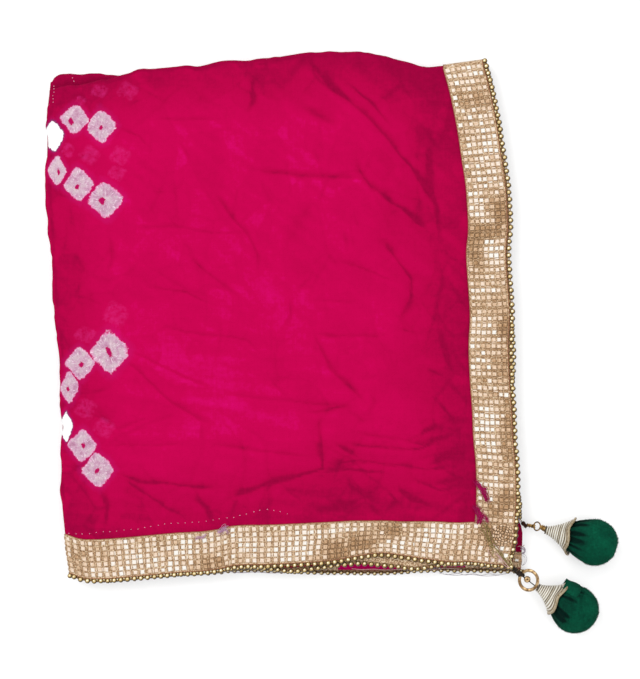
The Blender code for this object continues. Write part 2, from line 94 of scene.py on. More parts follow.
# bead lines along the bottom, by sheet: (x, y)
BOTTOM_BEADS = [
    (60, 573), (71, 575.6), (84, 580.2), (96, 581), (123, 579.6), (151, 577),
    (179, 574.4), (206, 572.8), (220, 570.7), (234, 567.5), (267, 566.4), (301, 564.9),
    (333, 562.3), (358, 557.9), (383, 555), (402, 557.4), (428, 561.2), (455, 564),
    (468, 563.5), (493, 566.1), (511, 567), (530, 567.5),
]
BOTTOM_SECOND = [
    (60, 572), (71, 574), (96, 579.5), (151, 575.8), (206, 572), (250, 567.5), (275, 569.5),
    (294, 571.2), (314, 568.8), (339, 565.3), (352, 563.7), (366, 563.7), (391, 566.3),
    (418, 569), (440, 565.5), (468, 563), (493, 565), (511, 566), (530, 566.5),
]
BOTTOM_LOWEST = [
    (60, 572), (71, 574), (96, 579), (151, 576.5), (190, 574.5), (212, 573.9), (231, 571.8),
    (264, 571.6), (297, 573), (345, 573.8), (390, 573.8), (423, 571.6), (471, 571.4),
    (507, 572.1), (540, 572.5),
]
BOTTOM_SHORT = [
    (60, 572), (71, 573), (100, 565), (160, 545), (230, 528), (300, 522), (400, 521),
    (470, 521), (520, 521.5), (540, 522),
]
# cross folds at the top, upper and lower pair of layers: (x, y)
TOP_UPPER = [
    (40, 93), (50, 89), (60, 86), (75, 84.5), (86, 83), (97, 80), (109, 77), (125, 72.5),
    (140, 67), (155, 67), (170, 66), (185, 64), (200, 65), (215, 61), (230, 59),
    (260, 58), (290, 54), (320, 51), (365, 51), (380, 54), (395, 58), (410, 62),
    (425, 66), (440, 65), (455, 63), (470, 61), (485, 59), (500, 57.5),
]
TOP_LOWER = [
    (40, 92), (49, 87), (53, 78), (58, 73.6), (65, 72), (80, 73), (95, 72), (110, 73),
    (125, 73.5), (140, 69), (170, 68), (200, 67), (230, 61.5), (260, 60), (290, 56),
    (320, 53.5), (365, 53.5), (395, 60), (425, 68), (455, 66), (485, 62), (500, 61),
]
FOLD_SETBACK = 4.9
INNER_SETBACK = 17.0
# sideways shift of the right edge, by sheet: (y, shift)
SHIFT_NONE = [(40, 0), (600, 0)]
SHIFT_SECOND = [
    (80, -0.6), (120, -2.2), (315, -2.2), (338, 1.6), (370, 1.6), (392, -2.2), (485, -2.2),
    (502, 1.6), (512, 1.6), (522, -2.0), (560, -2.6), (600, -2.0),
]
SHIFT_LOWEST = [
    (80, -0.4), (120, -2.2), (492, -2.2), (507, 0.5), (516, 2.5), (523, 6.4), (528, 8.6),
    (534, 8.0), (541, 9.7), (547, 8.9), (553, 10.2), (560, 12.6), (567, 13.2), (600, 13.5),
]
SHIFT_SHORT = [(80, -0.4), (120, -2.4), (480, -2.4), (505, 2.5), (522, 3.0), (600, 3.0)]
LEFT_SHIFT = {1: 0.0, 2: 1.2, 3: 0.8, 4: 1.5}
RIGHT_SAG = {1: 0.0, 2: -2.8, 3: -2.4, 4: 0.0}

# creases of the loose cloth: (depth share, half width, points)
MAIN_CREASES = [
    (0.055, 6, [(307, 60), (333, 88), (373, 122), (413, 170), (436, 205)]),
    (0.05, 4.5, [(253, 170), (300, 176), (363, 178)]),
    (0.065, 5, [(353, 157), (363, 178), (387, 200), (432, 232)]),
    (0.06, 6, [(428, 143), (428, 183), (437, 207), (440, 240)]),
    (0.04, 4, [(213, 193), (227, 210), (250, 237), (258, 257), (258, 273)]),
    (0.05, 4.5, [(128, 360), (150, 383), (173, 403), (200, 418), (213, 423)]),
    (0.07, 6, [(227, 497), (267, 485), (300, 475), (322, 468), (321, 433), (320, 413)]),
    (0.06, 5.5, [(380, 237), (397, 260), (410, 280), (410, 300), (397, 323)]),
    (0.045, 4.5, [(115, 473), (140, 482), (180, 485), (220, 488)]),
    (0.045, 5, [(313, 333), (330, 367), (350, 387), (367, 403)]),
    (0.045, 5, [(260, 73), (253, 83), (252, 100), (243, 117)]),
    (0.06, 8, [(300, 107), (320, 115), (341, 128)]),
]
FINE_CREASES = [
    (0.035, 3.5, [(347, 83), (377, 110), (393, 128)]),
    (0.04, 5, [(450, 107), (447, 127), (437, 147)]),
    (0.04, 3.5, [(117, 128), (140, 137), (152, 152)]),
    (0.025, 4, [(123, 107), (150, 97)]),
    (0.028, 3.5, [(133, 228), (173, 227), (213, 233), (257, 233)]),
    (0.03, 3, [(147, 203), (157, 220)]),
    (0.035, 4, [(343, 227), (347, 253)]),
    (0.025, 3, [(353, 213), (360, 233)]),
    (0.035, 3.5, [(340, 262), (367, 270), (397, 282)]),
    (0.028, 3, [(317, 300), (357, 302)]),
    (0.045, 4, [(290, 295), (290, 317), (283, 328)]),
    (0.03, 3, [(313, 273), (300, 287), (297, 297)]),
    (0.038, 3.5, [(150, 287), (187, 293), (213, 305)]),
    (0.028, 4, [(187, 253), (207, 273), (240, 297)]),
    (0.028, 4, [(107, 230), (112, 257), (107, 280)]),
    (0.02, 3.5, [(90, 283), (92, 307)]),
    (0.03, 3.5, [(160, 327), (207, 335), (247, 340), (260, 353)]),
    (0.035, 3.5, [(313, 335), (373, 337), (390, 333)]),
    (0.032, 3, [(130, 350), (167, 368), (210, 388)]),
    (0.035, 3.5, [(203, 422), (200, 443)]),
    (0.05, 5.5, [(329, 441), (348, 451), (363, 461)]),
    (0.03, 3, [(120, 477), (150, 497), (187, 520)]),
    (0.045, 4, [(100, 487), (107, 507), (103, 530)]),
    (0.035, 4, [(190, 495), (207, 507), (213, 523)]),
    (0.03, 4, [(113, 433), (133, 422), (153, 418)]),
    (0.025, 3, [(107, 445), (147, 445), (193, 442)]),
    (0.03, 3.5, [(207, 443), (253, 450), (313, 458)]),
    (0.055, 6.0, [(350, 487), (362, 495), (377, 503)]),
    (0.032, 4, [(400, 445), (425, 432), (447, 423)]),
    (0.032, 4, [(423, 367), (435, 374), (447, 380)]),
    (0.032, 4.5, [(437, 327), (447, 360), (453, 373)]),
    (0.035, 3.5, [(393, 327), (417, 333)]),
    (0.024, 3.5, [(227, 393), (273, 400), (357, 407)]),
    (0.03, 4, [(355, 432), (400, 440), (440, 446)]),
    (0.03, 4, [(320, 470), (370, 462), (425, 470), (455, 468)]),
    (0.034, 4, [(385, 485), (395, 500), (385, 512)]),
    (0.03, 4, [(410, 480), (440, 490), (462, 487)]),
    (0.026, 3, [(150, 120), (200, 119), (228, 118)]),
    (0.026, 3, [(147, 193), (175, 192)]),
    (0.024, 3, [(178, 141), (192, 165)]),
    (0.026, 4, [(270, 375), (275, 385), (290, 400)]),
    (0.03, 4, [(365, 420), (374, 408), (380, 400)]),
    (0.026, 3.5, [(86, 395), (100, 392), (118, 384)]),
    (0.026, 3.5, [(88, 412), (105, 420), (118, 430)]),
    (0.042, 5, [(343, 443), (375, 447), (405, 450), (424, 448), (436, 440), (455, 436)]),
    (0.042, 6, [(318, 472), (345, 470), (372, 471), (392, 474)]),
    (0.036, 4.5, [(322, 464), (345, 463), (362, 461), (385, 464), (420, 467)]),
    (0.034, 5, [(345, 478), (352, 490), (350, 498)]),
    (0.042, 6, [(312, 507), (320, 512), (340, 509), (353, 503)]),
    (0.038, 5, [(396, 480), (400, 490), (412, 500), (425, 505), (437, 506)]),
    (0.034, 4, [(414, 517), (418, 509), (426, 505)]),
    (0.048, 7, [(411, 477), (419, 483), (417, 489)]),
    (0.042, 5, [(430, 484), (450, 482), (466, 480)]),
    (0.042, 6, [(425, 467), (445, 459), (463, 453)]),
    (0.036, 4, [(356, 428), (362, 421), (372, 418)]),
    (0.04, 4, [(384, 427), (390, 419)]),
    (0.036, 5, [(435, 400), (445, 412), (452, 420)]),
    (0.034, 4, [(368, 505), (378, 514), (386, 517)]),
    (0.034, 4, [(303, 412), (330, 410), (352, 404)]),
    (0.03, 4, [(370, 387), (374, 400), (372, 415)]),
]
CREASE_LIP = 0.30             # height of the soft lips beside a crease, share of depth

# tied squares of the dye: (x, y, width, height, turn, kind)
TIED = 1.0
BARE = 2.0
SEEN_THROUGH = 0.3
SQUARENESS = 4.6              # how square the tied squares are: 2 would be a circle
SQUARE_SPAN = 2.44            # width of a square with its halo, in its own coordinates
BELOW_PAINTED_SHADE = 0.40           # painted shade added on the layers below
SQUARES = [
    (75.0, 119.4, 28, 28, 50, TIED), (101.6, 126.7, 28, 32, 41, TIED),
    (53.4, 136.3, 21, 31, 38, BARE), (57.3, 170.7, 18, 30, 44, TIED),
    (78.9, 184.8, 29, 32, 39, TIED), (105.5, 200.0, 34, 35, 36, TIED),
    (110.0, 352.0, 37, 41, 40, TIED), (80.2, 363.0, 28, 31, 44, TIED),
    (69.5, 387.4, 18, 32, 45, TIED), (66.3, 426.5, 13, 30, 45, BARE),
    (82.3, 445.4, 27, 32, 46, TIED), (98.2, 470.0, 30, 33, 42, TIED),
    (128, 91, 24, 20, 30, SEEN_THROUGH), (99, 91, 20, 16, 20, SEEN_THROUGH),
    (80, 101, 16, 12, 30, SEEN_THROUGH), (68, 150, 16, 18, 30, SEEN_THROUGH),
    (90, 155, 24, 22, 35, SEEN_THROUGH), (121, 156, 24, 22, 30, SEEN_THROUGH),
    (117, 173, 22, 18, 30, SEEN_THROUGH), (116, 315, 30, 30, 30, SEEN_THROUGH),
    (86, 335, 26, 20, 30, SEEN_THROUGH), (86, 409, 26, 24, 30, SEEN_THROUGH),
    (104, 428, 24, 24, 30, SEEN_THROUGH),
]
# painted light and shade of the waving lace: (x, y, half width, half height, strength)
LACE_LIGHT_AND_SHADE = [
    (468, 78, 22, 10, 0.10), (476, 100, 22, 9, -0.10), (490, 146, 20, 17, 0.26),
    (488, 178, 20, 12, 0.10), (502, 212, 9, 18, -0.42), (480, 211, 10, 15, 0.26),
    (488, 231, 20, 8, -0.55), (475, 256, 7, 24, -0.34), (498, 254, 11, 20, 0.34),
    (490, 294, 22, 16, 0.08), (504, 330, 9, 14, -0.50), (482, 330, 14, 13, 0.30),
    (500, 370, 12, 18, -0.22), (480, 366, 9, 15, 0.06), (488, 418, 13, 22, 0.34),
    (508, 430, 7, 24, -0.34), (500, 460, 14, 12, -0.14), (490, 486, 12, 11, 0.34),
    (506, 498, 9, 10, -0.46), (494, 509, 16, 6, -0.50), (480, 506, 6, 12, 0.18),
    (493, 538, 8, 12, -0.42), (503, 535, 9, 8, -0.22), (488, 530, 7, 9, -0.30),
    (499, 550, 6, 4, 0.42), (503, 557, 5, 4, 0.34),
    (88, 560, 18, 22, -0.04), (135, 558, 30, 20, 0.22), (182, 550, 14, 16, 0.26),
    (213, 565, 17, 9, -0.30), (210, 545, 16, 10, 0.20), (255, 545, 24, 16, 0.32),
    (300, 538, 18, 14, 0.36), (333, 552, 13, 12, -0.34), (336, 532, 12, 8, 0.36),
    (360, 545, 16, 12, -0.55), (358, 527, 14, 6, 0.20), (392, 530, 14, 9, -0.24),
    (394, 548, 15, 9, 0.10), (432, 540, 20, 15, 0.36), (470, 548, 11, 15, -0.10),
    (455, 527, 16, 6, 0.10),
]
# hem stitches along the bottom, under the left edge and on the cross fold: (x, y)
HEM_LINES = [
    (6.9, [(69, 533), (81, 534), (113, 531), (136, 529), (156, 525), (175, 523), (195, 522),
           (213, 520), (233, 517), (250, 513), (265, 509), (277, 511), (290, 514)]),
    (3.2, [(54.5, 86), (53.5, 95), (53, 104)]),
    (3.4, [(72, 74.5), (75, 84)]),
]

# tassels
UPPER_BALL = {"x": 594.5, "y": 542.0, "radius": 21.7 * MM}
LOWER_BALL = {"x": 574.7, "y": 609.0, "radius": 22.3 * MM}
UPPER_TIP = {"x": 545.7, "y": 530.0, "z": 12.0 * MM}
LOWER_TIP = {"x": 537.3, "y": 586.9, "z": 21.5 * MM}
UPPER_CAP_LENGTH = 23.6 * MM
LOWER_CAP_LENGTH = 21.0 * MM
CAP_RIM = 16.0 * MM
CAP_NOSE = 3.8 * MM
CAP_WALL = 1.3 * MM
PILE_FIBRES = 7000            # fibres drawn on each ball
FLAT_DEPTH = 0.8 * MM

ROWS_SHOWN = 262              # cloth rows along the top layer
HIDDEN_ROWS = 20              # and along each layer below
COLS_SHOWN = 240              # cloth columns across the upper sheet
FOLD_STEPS = 8                # rows round a cross fold
EDGE_Z = 2.05 * MM            # middle height of the lowest bead line
SHEET_OFFSET = 0.2 * MM       # sheet, outward from the middle of its solid
LIGHT_LEVEL = 1.95            # light on flat paper, in paper whites
JUT = 1.8 * MM                # how far the lowest layer juts out under its scrap of lace
TUCK_IN = 1.5 * MM            # and how far its own lace is drawn in there
RIBBON_OFFSET = LACE_IN + 0.1 * MM
CORD_RADIUS = 0.42 * MM
FOLD_SPOT = 0.62              # turn of the beads and cells beside the crest of a fold


def linear(code):
    """Colour of a surface that shows as this sRGB hex code under the stage's light."""
    values = [int(code[i:i + 2], 16) / 255 for i in (1, 3, 5)]
    values = [v / 12.92 if v <= 0.04045 else ((v + 0.055) / 1.055) ** 2.4 for v in values]
    return [v / LIGHT_LEVEL for v in values]


# shape of the folded stack
def mix(a, b, t):
    return a + (b - a) * t


def smooth(t):
    t = np.clip(t, 0.0, 1.0)
    return t * t * (3 - 2 * t)


def curve(table, t):
    """Smooth graph through a short table, for one value or an array."""
    xs = np.array([p[0] for p in table], float)
    ys = np.array([p[1] for p in table], float)
    slope = np.diff(ys) / np.diff(xs)
    tangent = np.concatenate(([slope[0]], (slope[:-1] + slope[1:]) / 2, [slope[-1]]))
    i = np.clip(np.searchsorted(xs, t, side="right") - 1, 0, len(xs) - 2)
    span = xs[i + 1] - xs[i]
    s = np.clip((t - xs[i]) / span, 0, 1)
    a = 2 * s ** 3 - 3 * s ** 2 + 1
    b = s ** 3 - 2 * s ** 2 + s
    c = -2 * s ** 3 + 3 * s ** 2
    d = s ** 3 - s ** 2
    return a * ys[i] + b * span * tangent[i] + c * ys[i + 1] + d * span * tangent[i + 1]


BEAD_BACK = (BEAD_W / 2 + CLEAR) / UNIT


def right_edge(y, shift):
    return curve(RIGHT_BEADS, y) - BEAD_BACK + curve(shift, y)


def left_edge(y):
    return curve(LEFT_FOLD, y) + 2.0


def bottom_graph(table):
    return lambda x: curve(table, x) - BEAD_BACK


def top_graph(table):
    return lambda x: curve(table, x) + FOLD_SETBACK


def hidden_bottom(x):
    return curve(BOTTOM_BEADS, x) - INNER_SETBACK


SHEETS = {
    (1, UPPER): (bottom_graph(BOTTOM_BEADS), top_graph(TOP_UPPER), SHIFT_NONE),
    (1, UNDER): (bottom_graph(BOTTOM_SECOND), top_graph(TOP_UPPER), SHIFT_SECOND),
    (2, UPPER): (hidden_bottom, top_graph(TOP_UPPER), SHIFT_NONE),
    (2, UNDER): (hidden_bottom, top_graph(TOP_UPPER), SHIFT_NONE),
    (3, UPPER): (hidden_bottom, top_graph(TOP_LOWER), SHIFT_NONE),
    (3, UNDER): (hidden_bottom, top_graph(TOP_LOWER), SHIFT_NONE),
    (4, UPPER): (bottom_graph(BOTTOM_LOWEST), top_graph(TOP_LOWER), SHIFT_LOWEST),
    (4, UNDER): (bottom_graph(BOTTOM_SHORT), top_graph(TOP_LOWER), SHIFT_SHORT),
}


def meet(x_of_y, y_of_x, y):
    """Crossing of an upright and a level edge, found from a first y."""
    for _ in range(12):
        x = x_of_y(y)
        y = y_of_x(x)
    return float(x), float(y)


def corners_of(low, high, shift):
    def right(y):
        return right_edge(y, shift)
    return (meet(left_edge, low, 570), meet(right, low, 565),
            meet(left_edge, high, 85), meet(right, high, 62))


CORNERS = {key: corners_of(*value) for key, value in SHEETS.items()}


def sheet_point(strip, side, u, v):
    """Outline position on a sheet; u runs left to right, v bottom to top."""
    low, high, shift = SHEETS[(strip, side)]
    bl, br, tl, tr = CORNERS[(strip, side)]
    y_left = mix(bl[1], tl[1], v)
    y_right = mix(br[1], tr[1], v)
    swell = np.sin(np.pi * v)
    left = (left_edge(y_left) + LEFT_SHIFT[strip] * swell, y_left)
    right = (right_edge(y_right, shift) + RIGHT_SAG[strip] * swell, y_right)
    x_low = mix(bl[0], br[0], u)
    x_high = mix(tl[0], tr[0], u)
    bottom = (x_low, low(x_low))
    top = (x_high, high(x_high))
    point = []
    for i in (0, 1):
        value = mix(bottom[i], top[i], v) + mix(left[i], right[i], u)
        point.append(value - mix(mix(bl[i], br[i], u), mix(tl[i], tr[i], u), v))
    return point


def lattice_noise(x, y, size, seed):
    """Smooth seeded noise from -1 to 1 on a square lattice of that size."""
    grid = np.random.RandomState(seed).uniform(-1, 1, (97, 97))
    gx, gy = np.asarray(x) / size + 11.3, np.asarray(y) / size + 7.9
    ix, iy = np.floor(gx).astype(int), np.floor(gy).astype(int)
    fx, fy = smooth(gx - ix), smooth(gy - iy)
    ix, iy = ix % 96, iy % 96
    low = mix(grid[iy, ix], grid[iy, ix + 1], fx)
    high = mix(grid[iy + 1, ix], grid[iy + 1, ix + 1], fx)
    return mix(low, high, fy)


def distance_to(points, x, y):
    """Distance to a drawn line, and 1 on its left hand and 0 on its right."""
    best = np.full(np.shape(x), 1e9)
    left = np.zeros(np.shape(x))
    for (ax, ay), (bx, by) in zip(points, points[1:]):
        dx, dy = bx - ax, by - ay
        t = np.clip(((x - ax) * dx + (y - ay) * dy) / (dx * dx + dy * dy), 0, 1)
        d = np.hypot(x - ax - t * dx, y - ay - t * dy)
        nearer = d < best
        best = np.where(nearer, d, best)
        left = np.where(nearer, (dx * (y - ay) - dy * (x - ax)) > 0, left)
    return best, left


def end_fade(points, x, y):
    """Less at the two ends of a crease, so that it runs out softly."""
    (ax, ay), (bx, by) = points[0], points[-1]
    near = np.minimum(np.hypot(x - ax, y - ay), np.hypot(x - bx, y - by))
    return 0.12 + 0.88 * smooth(near / 18.0)


def crumple(x, y, count, seed, width):
    """Straight fine creases between random flat patches, and a painted tone for each
    patch, lighter or darker as if it were tilted to the light.
    """
    rng = np.random.RandomState(seed)
    first = np.full(x.shape, 1e9)
    second = np.full(x.shape, 1e9)
    tone = np.zeros(x.shape)
    for cx, cy in zip(rng.uniform(30, 500, count), rng.uniform(50, 560, count)):
        stretch = rng.uniform(0.7, 1.5)
        d = np.hypot((x - cx) * stretch, (y - cy) / stretch)
        nearer = d < first
        second = np.where(nearer, first, np.minimum(second, d))
        first = np.where(nearer, d, first)
        tone = np.where(nearer, rng.uniform(-1, 1), tone)
    line = np.exp(-((second - first) / width) ** 2)
    shown = smooth(0.42 + 1.8 * lattice_noise(x, y, 33, seed + 1))
    return line * shown, tone


# relief and tone are worked out once on a lattice one unit apart
LATTICE_X = np.arange(24.0, 548.0)
LATTICE_Y = np.arange(40.0, 604.0)


def make_maps():
    """Height of the creases, share of the stack's height, and painted shade and
    highlight of the creases, crumples and furrows.
    """
    x, y = np.meshgrid(LATTICE_X, LATTICE_Y)
    relief = 0.018 * lattice_noise(x, y, 46, 3) + 0.012 * lattice_noise(x, y, 21, 5)
    relief += 0.004 * lattice_noise(x, y, 9, 7)
    dark = np.zeros(x.shape)
    warp_x = x + 1.2 * lattice_noise(x, y, 17, 31) + 0.35 * lattice_noise(x, y, 6, 33)
    warp_y = y + 1.2 * lattice_noise(x, y, 17, 32) + 0.35 * lattice_noise(x, y, 6, 34)
    for depth, width, points in MAIN_CREASES + FINE_CREASES:
        xs, ys = [p[0] for p in points], [p[1] for p in points]
        i = slice(int(max(min(ys) - 30 - LATTICE_Y[0], 0)), int(max(ys) + 30 - LATTICE_Y[0]))
        j = slice(int(max(min(xs) - 30 - LATTICE_X[0], 0)), int(max(xs) + 30 - LATTICE_X[0]))
        d, left = distance_to(points, warp_x[i, j], warp_y[i, j])
        fade = end_fade(points, x[i, j], y[i, j])
        steep = np.where(left > 0.5, 0.50, 1.45) * width
        cut = np.exp(-(d / steep) ** 2) * fade
        lip = np.exp(-((d - 1.5 * width) / (0.8 * width)) ** 2) * fade * left
        relief[i, j] += 0.85 * depth * (CREASE_LIP * lip - cut)
        # painted shade in the crease, darker on its steep side, and a painted highlight on its lip
        swell = 0.45 + 0.55 * smooth(0.5 + 1.3 * lattice_noise(x[i, j], y[i, j], 16, 37))
        core = np.exp(-(d / (np.where(left > 0.5, 0.34, 0.88) * width * swell)) ** 2)
        dark[i, j] = np.maximum(dark[i, j], np.minimum(depth * 11.5, 0.46) * core * fade)
        dark[i, j] -= depth * lip * 2.0
    # fine crumples, in height and with painted shade along them and on their patches
    for count, seed, width, height, depth in ((90, 101, 3.0, 0.012, 0.15),
                                              (380, 113, 1.8, 0.007, 0.10)):
        line, tone = crumple(warp_x, warp_y, count, seed, width)
        relief -= height * line
        dark += depth * line + 0.055 * tone
    # long soft furrows, slanting above and level below, in height and in painted shade
    slanting = lattice_noise((x + 0.8 * y) * 0.20, (y - 0.8 * x) * 0.8, 6.5, 401)
    level = lattice_noise((x + 0.12 * y) * 0.20, y - 0.12 * x, 6.5, 403)
    furrow = mix(slanting, level, smooth((y - 270) / 120))
    relief += 0.006 * furrow
    dark -= 0.085 * furrow
    return np.maximum(relief, -0.08), dark


def look(table, x, y):
    """Value of a lattice table at outline positions."""
    gx = np.clip(np.asarray(x, float) - LATTICE_X[0], 0, len(LATTICE_X) - 1.01)
    gy = np.clip(np.asarray(y, float) - LATTICE_Y[0], 0, len(LATTICE_Y) - 1.01)
    ix, iy = gx.astype(int), gy.astype(int)
    fx, fy = gx - ix, gy - iy
    low = mix(table[iy, ix], table[iy, ix + 1], fx)
    high = mix(table[iy + 1, ix], table[iy + 1, ix + 1], fx)
    return mix(low, high, fy)


RELIEF, PAINTED_SHADE_MAP = make_maps()


def seam_distance(x, y):
    """Distance to the beads on the right or below, whichever is nearer."""
    return np.minimum(right_edge(y, SHIFT_NONE) - x,
                      curve(BOTTOM_BEADS, x) - BEAD_BACK - y)


def seam_weight(x, y):
    return smooth(1 - (seam_distance(x, y) - MARGIN) / BLEND)


def levels(x, y):
    """Half gap, pitch, lace allowance and height factor at an outline position."""
    seam = seam_weight(x, y)
    from_left = x - left_edge(y)
    from_top = y - curve(TOP_UPPER, x)
    fold = smooth(1 - from_left / 40.0)
    half = mix(mix(HALF_BODY, HALF_FOLD, fold), HALF_LACE, seam)
    pitch = mix(PITCH_BODY, PITCH_LACE, seam)
    lace = (CLEAR + LACE_T) * seam
    loose = (1 - seam) * smooth(from_left / 60.0) * smooth(from_top / 60.0)
    wave = 0.03 * np.sin(x / 37.0 + 1.1) * np.sin(y / 43.0 + 0.4)
    free = smooth((seam_distance(x, y) - 38.5) / 9.0)
    free = free * smooth(from_left / 14.0) * smooth(from_top / 12.0)
    factor = 1 + PUFF * loose + wave * (0.35 + 0.65 * loose) + look(RELIEF, x, y) * free
    return half, pitch, lace, factor


def lace_share(strip, side, x):
    """Seen width of the end lace, share of its own width: it curls up where it waves."""
    curl = 0.185 * np.exp(-((x - 384) / 37.0) ** 2)
    return 1 - curl if strip == 1 and side == UPPER else 1.0


def ruffle(x, y):
    """Rise of the uppermost lace above its flat solid, in metres."""
    slow = lattice_noise(x, y, 23, 41)
    fast = lattice_noise(x, y, 10, 43)
    corner = np.exp(-((x - 499) ** 2 + (y - 549) ** 2) / 20.0 ** 2)
    puckers = 0.5 + 0.5 * lattice_noise(x * 0.72 + y * 0.70, y * 0.2 - x * 0.2, 6.5, 47)
    return MM * (0.55 * (0.5 + 0.5 * slow) + 0.22 * (0.5 + 0.5 * fast) + 1.7 * corner * puckers)


def surface(strip, side, u, v, offset, turn=None, tuck=None, reach=0.0, drop=0.0,
            ruffled=False):
    """Points of a sheet, as an array with a last axis of three. offset is measured
    outward from the sheet's middle, reach to the right, drop towards the bottom."""
    u, v = np.broadcast_arrays(np.asarray(u, float), np.asarray(v, float))
    x, y = sheet_point(strip, side, u, v)
    half, pitch, lace, _ = levels(x, y)
    centre = half + CLOTH_T / 2 + lace + (STRIPS - strip) * pitch
    if ruffled and strip == 1 and side == UPPER:
        offset = offset + ruffle(x, y)
    if tuck is None:
        along = (half + offset) * side
        sideways = 0.0
    else:
        along = (half + offset) * np.cos(tuck)
        sideways = -(half + offset) * np.sin(tuck)
    if turn is None:
        z = centre + (along if strip % 2 else -along)
        dy = 0.0
    else:
        radius = pitch / 2 + along if strip % 2 else along - pitch / 2
        z = centre - pitch / 2 + radius * np.sin(turn)
        dy = radius * np.cos(turn)
    free = 1 - seam_weight(x, y)
    near_left = free * np.exp(-((x - left_edge(y)) / 16.0) ** 2)
    near_top = free * np.exp(-((y - curve(TOP_UPPER, x)) / 14.0) ** 2)
    seed = 80 + 3 * strip
    shift_x = near_left * (0.9 * lattice_noise(y, y * 0, 13, seed)
                           + 0.6 * lattice_noise(y, y * 0, 5.5, seed + 1))
    shift_y = near_top * (0.9 * lattice_noise(x, x * 0, 14, seed + 2)
                          + 0.6 * lattice_noise(x, x * 0, 6, seed + 1))
    px = x + shift_x + (sideways + reach) / UNIT
    py = y + shift_y - (dy - drop) / UNIT
    z = np.maximum(z * levels(px, py)[3], 0.0)
    return metres(px, py, z)


def metres(x, y, z):
    """Array of points in metres from outline positions and heights."""
    return np.stack(np.broadcast_arrays((x - ORIGIN_X) * UNIT, (ORIGIN_Y - y) * UNIT, z), -1)


def outline_of(points):
    """Outline positions of points in metres."""
    return points[..., 0] / UNIT + ORIGIN_X, ORIGIN_Y - points[..., 1] / UNIT


def place(x, y, z):
    return Vector(((x - ORIGIN_X) * UNIT, (ORIGIN_Y - y) * UNIT, z))


def sheet_width(strip, side, v):
    ax, ay = sheet_point(strip, side, 0.0, v)
    bx, by = sheet_point(strip, side, 1.0, v)
    return np.hypot(bx - ax, by - ay) * UNIT


def sheet_length(strip, side, u):
    ax, ay = sheet_point(strip, side, u, 0.0)
    bx, by = sheet_point(strip, side, u, 1.0)
    return np.hypot(bx - ax, by - ay) * UNIT


def circle(count):
    """Evenly spaced angles round a circle."""
    return np.linspace(0, 2 * math.pi, count + 1)[:-1]


# meshes and materials
def add_object(name, data):
    made = bpy.data.objects.new(name, data)
    bpy.context.scene.collection.objects.link(made)
    return made


def add_piece(name, points, faces, material, replaced=(), slot=None, soft=True):
    """Object from points and faces, riding on the part's one body."""
    mesh = bpy.data.meshes.new(name)
    mesh.from_pydata(np.asarray(points).reshape(-1, 3).tolist(), [], faces)
    mesh.polygons.foreach_set("use_smooth", [soft] * len(mesh.polygons))
    mesh.materials.append(material)
    mesh.update()
    piece = add_object(name, mesh)
    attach(piece, "root")
    if replaced:
        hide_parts(*replaced)
    return piece


def grid_faces(rows, cols, close_rows=False, close_cols=False, start=0):
    """Quads of a grid of points, numbered row by row."""
    faces = []
    for r in range(rows if close_rows else rows - 1):
        a = start + r * cols
        b = start + ((r + 1) % rows) * cols
        for c in range(cols if close_cols else cols - 1):
            d = (c + 1) % cols
            faces.append((a + c, a + d, b + d, b + c))
    return faces


def copies(pattern, faces, count):
    """Faces of a pattern of points repeated count times."""
    return [tuple(i + k * pattern for i in face) for k in range(count) for face in faces]


def add_grid(name, rows, material, *more):
    """Sheet from rows of points."""
    points = np.array(rows)
    return add_piece(name, points, grid_faces(*points.shape[:2]), material, *more)


def paint_points(piece, name, values):
    layer = piece.data.attributes.new(name, "FLOAT", "POINT")
    layer.data.foreach_set("value", np.asarray(values, dtype=np.float32).ravel())


def node(tree, kind, settings=None, **links):
    """Adds a node; settings set its options, links its inputs by name or value."""
    made = tree.nodes.new(kind)
    for key, value in (settings or {}).items():
        setattr(made, key, value)
    for key, value in links.items():
        socket = made.inputs[int(key[1:]) if key[1:].isdigit() else key.replace("_", " ")]
        if isinstance(value, bpy.types.NodeSocket):
            tree.links.new(value, socket)
        else:
            socket.default_value = value
    return made


def paint(colour):
    """Red, green, blue and alpha of a hex code or of a linear colour."""
    return (*(linear(colour) if isinstance(colour, str) else colour), 1)


def new_material(name, colour, roughness, **values):
    material = bpy.data.materials.new(name)
    material.use_nodes = True
    shader = material.node_tree.nodes["Principled BSDF"]
    shader.inputs["Base Color"].default_value = paint(colour)
    shader.inputs["Roughness"].default_value = roughness
    for key, value in values.items():
        shader.inputs[key.replace("_", " ")].default_value = value
    return material, material.node_tree


def finished(material, colour, normal=None):
    """The material, with its colour and bump linked to its shader."""
    tree = material.node_tree
    for name, value in (("Base Color", colour), ("Normal", normal)):
        if value is not None:
            tree.links.new(value, tree.nodes["Principled BSDF"].inputs[name])
    return material


def ramp(tree, value, *stops):
    """Colour ramp; stops are (position, colour)."""
    made = node(tree, "ShaderNodeValToRGB", _0=value)
    band = made.color_ramp
    while len(band.elements) < len(stops):
        band.elements.new(0.5)
    for element, (position, colour) in zip(band.elements, stops):
        element.position = position
        element.color = paint(colour)
    return made.outputs[0]


def attribute(tree, name, output="Fac"):
    return node(tree, "ShaderNodeAttribute", {"attribute_name": name}).outputs[output]


def calc(tree, operation, a, b=0.0, c=0.0):
    return node(tree, "ShaderNodeMath", {"operation": operation}, _0=a, _1=b, _2=c).outputs[0]


def times(tree, value, *others):
    for other in others:
        value = calc(tree, "MULTIPLY", value, other)
    return value


def plus(tree, value, *others):
    for other in others:
        value = calc(tree, "ADD", value, other)
    return value


def centred(tree, value, share):
    """Noise from 0 to 1 as a change of up to half the share, up or down."""
    return calc(tree, "MULTIPLY_ADD", value, share, -share / 2)


def rest_of(tree, value):
    return calc(tree, "SUBTRACT", 1.0, value)


def fade(tree, value, low, high):
    """0 at low and 1 at high, even where low is the larger."""
    return node(tree, "ShaderNodeMapRange", None, Value=value, From_Min=low,
                From_Max=high).outputs[0]


